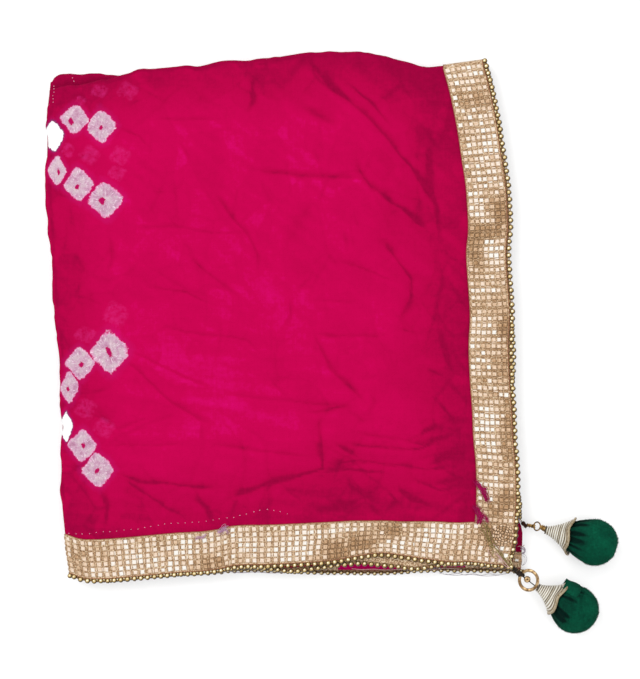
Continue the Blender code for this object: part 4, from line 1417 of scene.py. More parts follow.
def side_rows(strip, side):
    """v of the beads down the right edge of a sheet, staggered from sheet to sheet."""
    low, high = right_span(strip, side)
    phase = 0.5 * ((strip + (side == UNDER)) % 2)
    first = math.ceil((high + 1) / SIDE_BEAD_PITCH - phase)
    last = math.floor((low - 1) / SIDE_BEAD_PITCH - phase)
    ys = (np.arange(first, last + 1) + phase) * SIDE_BEAD_PITCH
    return np.sort((low - ys) / (low - high))


def side_bead_line(side):
    """Bead middles down one long side; the top line stands out more above the corner."""
    reach = CLEAR + BEAD_W / 2
    line = []
    for strip in range(1, STRIPS + 1):
        v = side_rows(strip, side)
        if strip == 4 and side == UPPER:
            v = v[v > 0.10]
        if strip % 2 == 0:
            v = v[::-1]
        fuller = 0.9 * MM * smooth((v - 0.18) / 0.25) if strip == 1 else 0.0
        line.append(surface(strip, side, 1.0, v, CLEAR, reach=reach + fuller))
        if strip < STRIPS:
            v_end, sign = far_fold(strip)
            turns = np.array([FOLD_SPOT, -FOLD_SPOT] if outermost(strip, side) else [0.0])
            line.append(surface(strip, side, 1.0, np.full(len(turns), v_end), CLEAR,
                                turn=turns * sign, reach=reach))
    return lifted(np.concatenate(line))


def end_bead_line(strip):
    """Bead middles along one short end, on both sheets and at the left fold."""
    drop = CLEAR + BEAD_W / 2
    line = []
    for side in (UPPER, UNDER):
        left, right = bottom_span(strip, side)
        xs = np.arange(left + 3 + 3.3 * (side == UNDER), right + 0.5, BEAD_PITCH)
        u = (xs - left) / (right - left)
        if side == UPPER:
            u = u[::-1]
            line.append(surface(strip, side, 1.0, 0.0, CLEAR, reach=drop, drop=drop)[None])
        line.append(surface(strip, side, u, 0.0, CLEAR, drop=drop))
        if side == UPPER:
            tuck = np.array([math.pi / 2])
            line.append(surface(strip, side, 0.0, np.zeros(1), CLEAR, tuck=tuck, drop=drop))
    return lifted(np.concatenate(line))


def add_beads(name, line, replaced, material, thread):
    """Beads round a line of middles, and the thread that runs through them."""
    rng = np.random.RandomState(len(line))
    size = np.where(line[:, 2] > TOP_LINE, TOP_BEAD_RADIUS, BEAD_RADIUS)
    size = (size * rng.uniform(0.95, 1.03, len(line)))[:, None, None]
    shift = rng.normal(0, 0.12 * MM, (len(line), 1, 3))
    shift[..., 2] = np.abs(shift[..., 2])
    points = line[:, None] + shift + BEAD_POINTS[None] * size
    points[..., 2] = np.maximum(points[..., 2], 0.02 * MM)
    faces = copies(len(BEAD_POINTS), BEAD_FACES, len(line))
    piece = add_piece(name, points, faces, material, replaced, "gold_beads")
    # painted shade on the side of each bead away from the light
    away = BEAD_POINTS @ np.array(SHADED_SIDE) / np.linalg.norm(SHADED_SIDE)
    paint_points(piece, "painted_bead_shade", np.tile(smooth(0.42 + 0.75 * away), len(line)))
    core_points, core_faces = tube(line, 0.5 * MM, 5)
    add_piece(name + "_thread", core_points, core_faces, thread)
    return piece


def make_lace_and_beads(settings):
    """Four ribbons with their cells and cords, four bead lines, and the corner."""
    net = ribbon_material()
    foil = foil_material(settings)
    copper = thread_material("copper_edge_cord", "#c98a63", "#8a5230", 0.45, 0.5, 1200.0)
    gilt = bead_material(settings)
    core = thread_material("bead_thread", "#b58a5c", "#7d4f2c", 0.7)
    tape = thread_material("bead_tape", "#b4885c", "#6e4626", 0.65, 0.2, 900.0)
    rng = np.random.RandomState(12)
    side_parts = (side_ribbon, side_cells, side_bead_line, side_tape)
    end_parts = (end_ribbon, end_cells, end_bead_line, end_tape)
    for label, which, length, parts in (
            ("side_upper", UPPER, SIDE_LACE, side_parts),
            ("side_under", UNDER, SIDE_LACE, side_parts),
            ("end_top", 1, END_LACE_LENGTH, end_parts),
            ("end_lowest", 4, END_LACE_LENGTH, end_parts)):
        ribbon_of, cells_of, line_of, tape_of = parts
        rings = ribbon_of(which)
        name, beads = "lace_" + label, "beads_" + label
        ribbon = make_ribbon(name + "_ribbon", rings, net, (name,))
        cells = add_cells(name + "_cells", *cells_of(which, rng), foil)
        cords = add_piece(name + "_cords", *lace_cords(rings, CORD_RADIUS), copper)
        add_beads(beads + "_line", line_of(which), (beads,), gilt, core)
        add_grid(beads + "_tape", tape_of(which), tape)
    make_corner(net, foil)


# loose ends
def on_lace(x, y, lift=0.9):
    """Place just over the uppermost lace, lift in millimetres above it."""
    spot = on_top(x, y)
    return (x, y, spot[2] + LACE_OUT + float(ruffle(x, y)) + lift * MM)


# threads over the lace: (points, radius in millimetres, colour name)
LACE_THREADS = [
    ([(481, 523), (486, 528), (488, 536), (491, 543), (497, 550), (503, 558), (508, 565),
      (512, 569)], 0.44, "olive"),
    ([(484, 522), (488.5, 528), (490.5, 535), (494, 542.5), (500, 550.5), (505, 559),
      (507, 561)], 0.34, "olive"),
    ([(480, 527), (484, 532), (487, 539), (489.5, 545), (493, 550), (492, 556)],
     0.34, "olive"),
    ([(493, 544), (498, 547), (500, 551), (497, 554), (501, 557)], 0.32, "rose"),
    ([(490, 545), (495, 548), (499, 554), (503, 557)], 0.30, "gold"),
    ([(498, 556), (503, 560), (507, 565), (512, 569)], 0.34, "rose"),
    ([(494, 553), (499, 557), (502, 563), (507, 567)], 0.30, "rose"),
    ([(496, 561), (500, 559), (505, 562), (508, 567)], 0.28, "rose"),
    ([(487, 548), (489, 553), (492, 558), (490, 563)], 0.26, "rose"),
]
# frayed tufts over the lace: (points, spread in outline units, fibres, colour name)
TUFTS = [
    ([(476, 483), (481, 488), (484, 494), (487, 500)], 1.3, 40, "magenta"),
    ([(476, 480), (478, 484), (482, 489), (486, 488)], 0.8, 14, "magenta"),
    ([(475, 506), (478, 512), (480, 517), (479, 523)], 1.7, 44, "magenta"),
    ([(477, 510), (481, 514), (485, 517), (487, 521)], 1.0, 18, "magenta"),
    ([(195, 539), (199, 537), (202, 538), (205, 535)], 0.8, 9, "lilac"),
    ([(217, 533), (221, 531), (223, 528), (226, 526)], 1.2, 10, "lilac"),
    ([(219, 532), (223, 530), (226, 529), (229, 532)], 1.0, 8, "lilac"),
]
# threads beside the lace: (points with height in millimetres, radius, colour name)
EDGE_THREADS = [
    ([(505, 556, 21), (509, 559, 21.6), (512, 563, 20.5), (512.5, 568, 17), (515, 571, 14)],
     0.55, "gold"),
    ([(503, 560, 21), (508, 562, 21.8), (511, 567, 19), (514, 570, 15)], 0.5, "gold"),
    ([(507, 552, 21), (510, 557, 21.6), (511, 562, 21), (509, 566, 20.4)], 0.45, "gold"),
    ([(521, 548, 5), (523.5, 547.5, 5.6), (525.6, 550, 5.8), (524.8, 553.5, 5.6),
      (522.2, 554.5, 5.2)], 0.55, "grey"),
    ([(521, 550, 5.4), (523.8, 549.5, 6), (525, 552.2, 6), (522.8, 553.4, 5.6)], 0.5, "grey"),
    ([(518, 547.4, 5.4), (520, 546.6, 5.8), (523, 547, 5.6), (525, 545.6, 5.0)], 0.28, "rose"),
    ([(522, 554, 4.6), (526, 556, 4.4), (527.4, 560, 4), (526, 564, 3.6), (523, 566, 3.2),
      (521.6, 563, 3.6)], 0.2, "grey"),
    ([(523, 556, 4.6), (525.4, 558, 4.4), (525.6, 562, 4), (524, 565.5, 3.6)], 0.18, "grey"),
    ([(440, 574.2, 1.0), (449, 575.6, 0.9), (458, 574.4, 1.0), (466, 576, 0.8),
      (474, 574.8, 0.9), (482, 576.2, 0.8), (490, 574.8, 0.9), (498, 576, 0.8),
      (507, 574.6, 0.9)], 0.2, "grey"),
    ([(446, 575, 0.7), (456, 576.4, 0.7), (470, 575.4, 0.8), (486, 577, 0.7), (500, 576, 0.7)],
     0.16, "grey"),
    ([(352, 569, 7.6), (362, 570, 7.2), (374, 569.6, 7.2), (386, 570.4, 6.8),
      (398, 570, 6.8), (410, 570.2, 6.4)], 0.3, "rose"),
    ([(430, 567, 7.4), (434, 568.6, 7.4), (438, 568, 7.4), (441, 570, 7.0)], 0.35, "grey"),
    ([(519.5, 516, 5.2), (520.6, 519, 5.7), (522.8, 522.6, 5.9)], 0.42, "olive"),
    ([(518.8, 517, 5.1), (520.2, 521, 5.5), (523.0, 524, 5.7)], 0.30, "lilac"),
    ([(398, 568.4, 7.6), (408, 570.4, 7), (420, 569, 7), (432, 570, 6.6), (446, 568.8, 7),
      (462, 569.8, 6.8)], 0.3, "rose"),
    ([(228, 571.8, 5.6), (240, 573.4, 5), (255, 572.6, 5), (270, 573.6, 4.6), (286, 573, 4.6)],
     0.28, "grey"),
]
THREAD_COLOURS = {
    "magenta": ("#c80a68", "#86043f"), "olive": ("#a8965a", "#5c4e26"),
    "lilac": ("#e3b3d6", "#b983ad"), "gold": ("#e8d7a8", "#8f7340"),
    "rose": ("#f0cfc8", "#b77f78"), "grey": ("#d5cbd3", "#96899a"),
}


def gathered_cells(rng):
    """Tiny cells drawn up in rings where the lace is gathered at the corner."""
    blocks, tones = [], []
    for radius in (0.6, 3.0, 5.3, 7.6, 9.8):
        count = max(int(2 * math.pi * radius / 3.3), 1)
        for step in range(count):
            angle = 2 * math.pi * (step + 0.5 * radius) / count
            out = np.array((math.cos(angle), math.sin(angle)))
            way = np.array((-out[1], out[0]))
            block = []
            for across, along, lift in CELL:
                x, y = (np.array(GATHER[:2]) + out * (radius + 0.95 * across)
                        + way * (1.35 * along))
                block.append(place(*on_lace(x, y, 0.35 + lift)))
            blocks.append(block)
            tones.append(0.40 + rng.normal(0, 0.07))
    return np.array(blocks), np.array(tones)


# back of the lace on the lower flaps: (strip, side, from x, to x, depth in outline units)
LACE_BACKS = [
    (1, UNDER, 338, 436, 12.0), (4, UPPER, 290, 338, 10.0), (4, UPPER, 403, 431, 8.0),
    (4, UPPER, 466, 500, 8.0),
]


def add_lace_backs(net):
    """Brown wrong side of the lace, seen on the inner face of the layers below."""
    for number, (strip, side, start, end, deep) in enumerate(LACE_BACKS, 1):
        left, right = bottom_span(strip, side)
        rows = []
        for x in np.arange(start, end + 0.1, 2.0):
            u = (x - left) / (right - left)
            depth = deep * (1 + 0.10 * lattice_noise(x, x * 0, 9.0, 215)) * UNIT
            v = np.linspace(0, depth / sheet_length(strip, side, u), 7)
            rows.append(surface(strip, side, u, v, -0.5 * MM))
        piece = add_grid("lace_back_%d" % number, rows, net)
        paint_points(piece, "lace_tone", np.full(len(piece.data.vertices), -0.10))


def make_corner(net, foil):
    """Frays, loose threads and the turned-back scrap of lace at the open corner."""
    rng = random.Random(29)
    for colour, (light, dark) in THREAD_COLOURS.items():
        parts = []
        for points, spread, fibres, wanted in TUFTS:
            for _ in range(fibres if wanted == colour else 0):
                first = rng.choice((0, 0, 1))
                off_x, off_y = rng.gauss(0, spread), rng.gauss(0, spread)
                path = [on_lace(x + off_x + rng.gauss(0, 0.5), y + off_y + rng.gauss(0, 0.5),
                                rng.uniform(0.7, 1.5)) for x, y in points[first:]]
                parts.append(bent(path, rng.uniform(0.10, 0.19) * MM, 4, 4))
        for points, radius, wanted in LACE_THREADS:
            if wanted == colour:
                parts.append(bent([on_lace(x, y) for x, y in points], radius * MM, 6, 6))
        for points, radius, wanted in EDGE_THREADS:
            if wanted == colour:
                parts.append(bent([(x, y, z * MM) for x, y, z in points], radius * MM, 6, 6))
        material = thread_material("loose_thread_" + colour, light, dark, 0.7, 0.0, 1400.0)
        add_piece("loose_threads_" + colour, *join_parts(parts), material)

    across, down = np.meshgrid(np.linspace(513.2, 522.0, 15), np.linspace(552.6, 568.2, 23))
    edge_x = across + 0.5 * lattice_noise(down, across * 0, 4.0, 205) * (across - 513) / 9
    z = 5.1 * MM + 0.55 * MM * lattice_noise(across, down, 3.1, 207)
    z += 0.7 * MM * np.exp(-((down - 558) / 2.2) ** 2)
    scrap = add_grid("lace_scrap_corner", metres(edge_x, down, z), net, (), "gold_lace")
    paint_points(scrap, "lace_tone", np.full(z.size, -0.12))
    spots = np.random.RandomState(3)
    along = np.array([556.0, 556.2, 560.8, 561.2, 564.2])
    back = np.array([516.2, 519.6, 517.4, 520.4, 515.4])

    def evaluate(y, x, lift):
        return metres(x, y, 5.4 * MM + lift)
    add_cells("lace_scrap_corner_cells", cell_block(evaluate, along, back, spots, 1.3),
              np.array([0.2, 0.3, 0.95, 0.25, 0.35]), foil)
    add_cells("lace_corner_gather_cells", *gathered_cells(spots), foil)
    add_lace_backs(net)


# tassels
def basis(axis):
    """Unit axis and two directions across it."""
    axis = axis.normalized()
    side = axis.cross(Vector((0, 0, 1))).normalized()
    return axis, side, side.cross(axis)


def spun(origin, axis, along, radius, turns):
    """Grid of points round an axis; along and radius are (rows, turns) arrays."""
    axis, side, up = (np.array(v) for v in basis(axis))
    spoke = np.cos(turns)[:, None] * side + np.sin(turns)[:, None] * up
    return (np.array(origin) + along[..., None] * axis + radius[..., None] * spoke[None])


def cap_radius(share):
    return CAP_NOSE + (CAP_RIM - CAP_NOSE) * share ** 1.45


def make_cap(label, tip, axis, length, petals, material):
    """Cone of wound thread: grooved outside, a rolled scalloped rim, plain inside."""
    turns = circle(96)
    shares = np.linspace(0, 1, 150)
    windings = 11
    groove = np.cos(2 * math.pi * windings * shares)
    wobble = 0.05 * MM * np.sin(3 * turns[None] + 9 * shares[:, None])
    body = cap_radius(shares)[:, None] + 0.42 * MM * groove[:, None] + wobble
    flare = flare_at(shares)
    lobe = petal_wave(turns, petals)[None]
    body = body + flare * (lobe * 1.5 + 0.4) * MM
    along = shares[:, None] * length + flare * lobe * 1.7 * MM
    roll_turn = np.linspace(0, 1.5 * math.pi, 9)[1:]
    roll = 1.15 * MM
    edge_r, edge_a = body[-1], along[-1]
    roll_r = np.stack([edge_r + roll * np.sin(t) for t in roll_turn])
    roll_a = np.stack([edge_a + roll * (1 - np.cos(t)) * 0.9 for t in roll_turn])
    back = np.linspace(1, 0.12, 14)
    inner_r = (cap_radius(back) - CAP_WALL)[:, None] + flare_at(back) * lobe * 1.3 * MM
    inner_a = back[:, None] * length + flare_at(back) * lobe * 1.6 * MM
    nose_r = np.array([0.6 * MM, 0.6 * MM, 0.8 * CAP_NOSE])[:, None] + 0 * turns[None]
    nose_a = np.array([0.1 * length, 0.0, -0.05 * MM])[:, None] + 0 * turns[None]
    radius = np.concatenate((nose_r, body, roll_r, inner_r))
    steps = np.concatenate((nose_a, along, roll_a, inner_a))
    points = spun(tip, axis, steps, radius, turns)
    points[..., 2] = np.maximum(points[..., 2], 0.05 * MM)
    rows = len(radius)
    faces = grid_faces(rows, len(turns), close_rows=True, close_cols=True)
    piece = add_piece(label + "_tassel_cap_wound", points, faces, material,
                      (label + "_tassel_cap",), "wound_gold_thread")
    ring = np.zeros(rows)
    # painted light on the crests of the windings and painted shade in the grooves; darker at the
    # nose, mid tone inside
    ring[3:3 + len(shares)] = np.where(shares < 0.07, -0.25, 0.5 + 0.5 * groove)
    ring[3 + len(shares):] = 0.35
    ring = np.repeat(ring[:, None], len(turns), 1)
    winding = np.floor(windings * shares + 0.5)[:, None]      # each has its own shade
    ring[3:3 + len(shares)] += 0.42 * lattice_noise(4 * turns[None] + 0 * winding,
                                                    37.0 * winding + 0 * turns[None], 5.0, 211)
    paint_points(piece, "wound", ring)
    rim = np.zeros(rows)
    rim[3:3 + len(shares)] = smooth((shares - 0.86) / 0.12)
    rim[3 + len(shares):] = 1.0
    paint_points(piece, "rim_share", np.repeat(rim, len(turns)))
    return piece


def flare_at(share):
    return smooth((share - 0.72) / 0.28)[:, None]


def petal_wave(turns, petals):
    """Scallops of the rim: pointed lobes with rounded hollows between them."""
    count, shift = petals
    wave = np.abs(np.cos(count * turns / 2 + shift))
    return 1.6 * wave ** 1.6 - 0.8


def make_ball(label, ball, tip, length, facet, material):
    """Stuffed velvet ball with gathers drawn into the cap."""
    centre = place(ball["x"], ball["y"], ball["radius"] - FLAT_DEPTH)
    nose = place(tip["x"], tip["y"], tip["z"])
    axis = nose - centre
    reach, radius = axis.length, ball["radius"]
    rim = reach - length
    turns = circle(160)
    angles = np.linspace(0.012, 0.60, 92) * math.pi
    along = -radius * np.cos(angles)
    wide = radius * np.sin(angles)
    shares = np.array([0.97, 0.85, 0.7, 0.55, 0.45, 0.25])
    join = np.linspace(0, 1, 12)[1:-1]
    neck_a = rim + length * (1 - shares[0])
    neck_r = cap_radius(shares[0]) - CAP_WALL - 0.8 * MM
    along = np.concatenate((along, mix(along[-1], neck_a, join), rim + length * (1 - shares)))
    bridge = mix(wide[-1], neck_r, join) + 0.9 * MM * np.sin(math.pi * join)
    wide = np.concatenate((wide, bridge, cap_radius(shares) - CAP_WALL - 0.8 * MM))
    start = 0.15 if label == "lower" else -0.08
    near = smooth((along + start * radius) / (rim * 0.9))[:, None]
    near = near * (along[:, None] < rim + 1.5 * MM)
    rng = random.Random(len(label) + int(ball["x"]))
    gather = np.zeros((len(along), len(turns)))
    for _ in range(22):
        spot, width = rng.uniform(0, 2 * math.pi), rng.uniform(0.05, 0.12)
        depth = rng.uniform(0.7, 1.5) * MM
        away = np.angle(np.exp(1j * (turns - spot)))[None]
        gather += depth * near * np.exp(-(away / width) ** 2)
    lumps = 0.35 * MM * lattice_noise(turns[None] * 8 + 0 * along[:, None],
                                      along[:, None] / MM, 5.0, 71)
    fuzz = 0.16 * MM * np.random.RandomState(9).normal(0, 1, gather.shape)
    wide_all = wide[:, None] - gather + lumps + fuzz * (1 - 0.5 * near)
    points = spun(centre, axis, np.repeat(along[:, None], len(turns), 1), wide_all, turns)
    if facet:
        normal = np.array([facet[0], facet[1], 0.0])
        normal /= np.linalg.norm(normal)
        out = (points - np.array(centre)) @ normal
        over = np.maximum(out - facet[2], 0)
        points -= (over * 0.75)[..., None] * normal
    points[..., 2] = np.maximum(points[..., 2], 0.0)
    rows = len(along)
    faces = grid_faces(rows, len(turns), close_cols=True)
    faces.append(tuple(range(len(turns) - 1, -1, -1)))
    faces.append(tuple((rows - 1) * len(turns) + i for i in range(len(turns))))
    piece = add_piece(label + "_tassel_ball_velvet", points, faces, material,
                      (label + "_tassel_ball",), "green_velvet")
    # painted shade in the gathers and next to the cap
    tone = np.clip(gather / (1.4 * MM) + 0.35 * near, 0, 1)
    paint_points(piece, "painted_pile_shade", tone)
    covered = (along < rim - 0.5 * MM) & (np.arange(rows) > 3)
    make_pile(label, points[covered], tone[covered], np.array(centre), material)
    return centre, nose, axis, rim


def make_pile(label, points, tone, centre, material):
    """Short upright fibres of the velvet, standing a little off its surface."""
    rng = np.random.RandomState(17)
    roots = points.reshape(-1, 3)
    weight = np.sin(np.linspace(0.05, math.pi - 0.4, len(points))).clip(0.05)
    weight = np.repeat(weight, points.shape[1])
    chosen = rng.choice(len(roots), PILE_FIBRES, p=weight / weight.sum())
    root = roots[chosen] + rng.normal(0, 0.15 * MM, (PILE_FIBRES, 3))
    out = root - centre
    out /= np.linalg.norm(out, axis=1, keepdims=True)
    lean = out + rng.normal(0, 0.35, out.shape)
    across = np.cross(out, rng.normal(0, 1, out.shape))
    across /= np.maximum(np.linalg.norm(across, axis=1, keepdims=True), 1e-6)
    half = rng.uniform(0.10, 0.20, (PILE_FIBRES, 1)) * MM
    tall = rng.uniform(0.35, 1.25, (PILE_FIBRES, 1)) * MM
    blades = np.stack((root - across * half, root + across * half, root + lean * tall), 1)
    blades[..., 2] = np.maximum(blades[..., 2], 0.02 * MM)
    faces = [(3 * i, 3 * i + 1, 3 * i + 2) for i in range(PILE_FIBRES)]
    piece = add_piece(label + "_tassel_velvet_pile", blades, faces, material, (), "green_velvet",
                      soft=False)
    paint_points(piece, "painted_pile_shade", np.repeat(tone.ravel()[chosen], 3))


def make_frill(centre, axis, rim, material):
    """Pinked edge of the velvet that stands out beside the cap."""
    turns = np.linspace(math.radians(-60), math.radians(60), 121)
    profile = ((-15.0, 21.6), (-12.0, 22.5), (-8.0, 22.4), (-4.5, 21.7), (-1.6, 21.0),
               (0.4, 20.6))         # millimetres past the cap's rim and from the axis
    rows = len(profile)
    zig = 1.1 * MM * np.where(np.arange(len(turns)) % 6 < 3, 1, -1)
    swell = np.sin(np.linspace(0, math.pi, len(turns))) ** 0.5
    along, radius = [], []
    for i, (back, reach) in enumerate(profile):
        at = rim + back * MM
        ball = math.sqrt(max(LOWER_BALL["radius"] ** 2 - at ** 2, 0.0)) - 0.8 * MM
        along.append(at + (zig if i == rows - 1 else 0) + 0 * turns)
        radius.append(mix(ball, reach * MM, swell) + (0.6 * zig if i == rows - 1 else 0))
    outer = spun(centre, axis, np.array(along), np.array(radius), turns)
    inner = spun(centre, axis, np.array(along)[::-1] - 0.5 * MM,
                 np.array(radius)[::-1] - 0.7 * MM, turns)
    points = np.concatenate((outer, inner))
    faces = grid_faces(2 * rows, len(turns), close_rows=True)
    size = len(turns)
    faces.append(tuple(i * size for i in range(2 * rows)))
    faces.append(tuple(i * size + size - 1 for i in range(2 * rows - 1, -1, -1)))
    piece = add_piece("lower_tassel_pinked_edge", points, faces, material, (), "green_velvet")
    # a little painted shade on the pinked edge
    paint_points(piece, "painted_pile_shade", np.full(len(points.reshape(-1, 3)), 0.1))


def ring_points(centre, normal, major, wide, thick, steps=72, sides=16):
    normal = normal.normalized()
    first = normal.cross(Vector((0, 1, 0))).normalized()
    second = normal.cross(first)
    turn, spin = circle(steps), circle(sides)
    out = np.cos(turn)[:, None] * np.array(first) + np.sin(turn)[:, None] * np.array(second)
    section = (out[:, None] * (major + wide * np.cos(spin))[None, :, None]
               + np.array(normal) * (thick * np.sin(spin))[None, :, None])
    points = np.array(centre) + section
    return points, grid_faces(steps, sides, close_rows=True, close_cols=True)


def coil(start, end, radius, thread, loops, samples=14):
    """Thread wound round the straight line from start to end."""
    start, end = Vector(start), Vector(end)
    axis, side, up = basis(end - start)
    path = []
    for i in range(loops * samples + 1):
        t = i / (loops * samples)
        angle = 2 * math.pi * loops * t
        bulge = radius * (0.75 + 0.25 * math.sin(math.pi * t))
        path.append(start.lerp(end, t) + side * (bulge * math.cos(angle))
                    + up * (bulge * math.sin(angle)))
    return tube([tuple(p) for p in path], thread, 6)


def bent(points, radius, sides=6, steps=8):
    """Smooth thread through a few points, in outline units and metres."""
    spots = [np.array(place(*p)) for p in points]
    spots = [2 * spots[0] - spots[1]] + spots + [2 * spots[-1] - spots[-2]]
    path = []
    for p0, p1, p2, p3 in zip(spots, spots[1:], spots[2:], spots[3:]):
        for i in range(steps):
            t = i / steps
            path.append(0.5 * (2 * p1 + (p2 - p0) * t + (2 * p0 - 5 * p1 + 4 * p2 - p3) * t * t
                               + (3 * p1 - p0 - 3 * p2 + p3) * t ** 3))
    path.append(spots[-2])
    return tube(path, radius, sides)


def ball_points(centre, size, scale=(1, 1, 1)):
    points, faces = bead_ball(20, 14)
    return points * size * np.array(scale) + np.array(centre), faces


def make_tassels(settings):
    """Both balls with their caps, and the rings, loops and knots that hold them."""
    velvet = velvet_material(settings)
    zari = cap_material(settings)
    gilt = metal_material("gilt_brass_ring", "#dfbf90", "#75502c", 0.28)
    wire = metal_material("gilt_brass_wire", "#d8ac66", "#6a4720", 0.3)
    dark = thread_material("dark_wax_thread", "#40342a", "#0e0a08", 0.45)
    bead = bead_material(bpy.context.scene.dupatta_lace)

    for label, ball, tip, length, facet, petals in (
            ("upper", UPPER_BALL, UPPER_TIP, UPPER_CAP_LENGTH, (1.0, -0.30, 0.0207), (4, 0.6)),
            ("lower", LOWER_BALL, LOWER_TIP, LOWER_CAP_LENGTH, None, (4, 1.3))):
        centre, nose, axis, rim = make_ball(label, ball, tip, length, facet, velvet)
        make_cap(label, nose, -axis, length, petals, zari)
    make_frill(centre, axis, rim, velvet)

    # lower tassel: ring, bead in it, thread loop and knot
    ring_centre = place(528.3, 580.0, 21.0 * MM)
    lean = math.radians(24)
    tilt = Vector((-math.sin(lean), 0, math.cos(lean)))
    points, faces = ring_points(ring_centre, tilt, 9.3 * MM, 1.6 * MM, 0.9 * MM)
    add_piece("lower_tassel_gilt_ring", points, faces, gilt, ("lower_tassel_ring",), "gilt_wire")
    hub = place(527.0, 579.05, 20.45 * MM)
    points, faces = ring_points(hub, Vector((0.1, -0.1, 1)), 1.7 * MM, 1.5 * MM, 1.9 * MM, 32, 14)
    add_piece("lower_tassel_hub_bead", points, faces, gilt, ("lower_tassel_bead",),
              "gold_beads")
    loop_centre = place(520.8, 574.2, 18.0 * MM)
    loop_axis = Vector((0.55, 0.81, 0.24))
    points, faces = ring_points(loop_centre, loop_axis, 3.6 * MM, 0.55 * MM, 0.55 * MM, 40, 8)
    points2, faces2 = ring_points(loop_centre + Vector((0.5, 0.9, 0.3)) * MM, loop_axis,
                                  3.5 * MM, 0.5 * MM, 0.5 * MM, 40, 8)
    strand = bent([(527, 579, 0.0205), (531.5, 583, 0.0222), (535.5, 585.8, 0.0222),
                   (538.5, 587.6, 0.0215)], 0.5 * MM)
    tie = bent([(521.5, 575.2, 0.0185), (523.6, 577.0, 0.0196), (527, 579, 0.0205)], 0.5 * MM)
    knot = join_parts([
        coil(place(512.4, 567.6, 18.9 * MM), place(516.6, 571.4, 18.6 * MM), 2.1 * MM,
             0.75 * MM, 3),
        coil(place(517.0, 571.6, 18.6 * MM), place(521.6, 575.4, 18.4 * MM), 2.3 * MM,
             0.75 * MM, 3),
        ball_points(place(514.6, 569.6, 18.6 * MM), 2.1 * MM),
        ball_points(place(519.4, 573.8, 18.3 * MM), 2.2 * MM)])
    add_piece("lower_tassel_thread_loop", *join_parts([(points, faces), (points2, faces2),
              strand, tie]), dark, ("lower_tassel_loop",), "dark_thread")
    add_piece("lower_tassel_thread_knot", *knot, dark, ("lower_tassel_knot",), "dark_thread")

    # upper tassel: knot, twisted link and wire eye
    brown = thread_material("brown_wax_thread", "#4a2814", "#1a0c06", 0.5)
    knot = [coil(place(522.6, 523.0, 5.6 * MM), place(525.0, 525.0, 6.0 * MM), 1.7 * MM,
                 0.6 * MM, 3)]
    knot.append(coil(place(525.0, 525.2, 6.0 * MM), place(527.0, 527.4, 6.4 * MM), 1.6 * MM,
                     0.6 * MM, 2))
    knot.append(ball_points(place(523.7, 523.9, 5.8 * MM), 1.8 * MM, (1.1, 1.0, 0.9)))
    knot.append(ball_points(place(526.2, 526.4, 6.2 * MM), 1.7 * MM))
    add_piece("upper_tassel_thread_knot", *join_parts(knot), brown, ("upper_tassel_knot",),
              "dark_thread")
    twist = []
    for shift in (0.0, 0.5):
        path = []
        a, b = place(527.6, 525.6, 6.8 * MM), place(535.2, 527.0, 9.4 * MM)
        way, side, up = basis(b - a)
        for i in range(31):
            t = i / 30
            angle = 2 * math.pi * (1.5 * t + shift)
            path.append(tuple(a.lerp(b, t) + side * (1.05 * MM * math.cos(angle))
                              + up * (1.05 * MM * math.sin(angle))))
        twist.append(tube(path, 0.85 * MM, 8))
    add_piece("upper_tassel_twisted_link", *join_parts(twist), wire, ("upper_tassel_link",),
              "gilt_wire")
    eye = place(537.3, 526.5, 10.8 * MM)
    parts = [ring_points(eye, Vector((-0.65, 0.1, 0.75)), 4.0 * MM, 0.65 * MM, 0.65 * MM, 48, 12)]
    parts.append(bent([(540.6, 526.4, 0.0135), (543.5, 528.0, 0.0130), (547.5, 530.6, 0.0125)],
                      1.3 * MM, 12))
    parts.append(coil(place(541.2, 526.8, 13.2 * MM), place(546.8, 530.3, 12.4 * MM), 2.2 * MM,
                      0.7 * MM, 4))
    add_piece("upper_tassel_wire_eye", *join_parts(parts), wire, ("upper_tassel_wire",),
              "gilt_wire")


# stage
FLOOR_HALF = 3.0              # half width of the floor, and its gap under the cloth
FLOOR_GAP = 0.2 * MM
PHOTO_WIDE, PHOTO_HIGH = 640, 679
CAMERA_HEIGHT = 4.0
SHARP_HEIGHT = 16.0 * MM      # height at which a photo pixel is one outline unit
SENSOR = 36.0


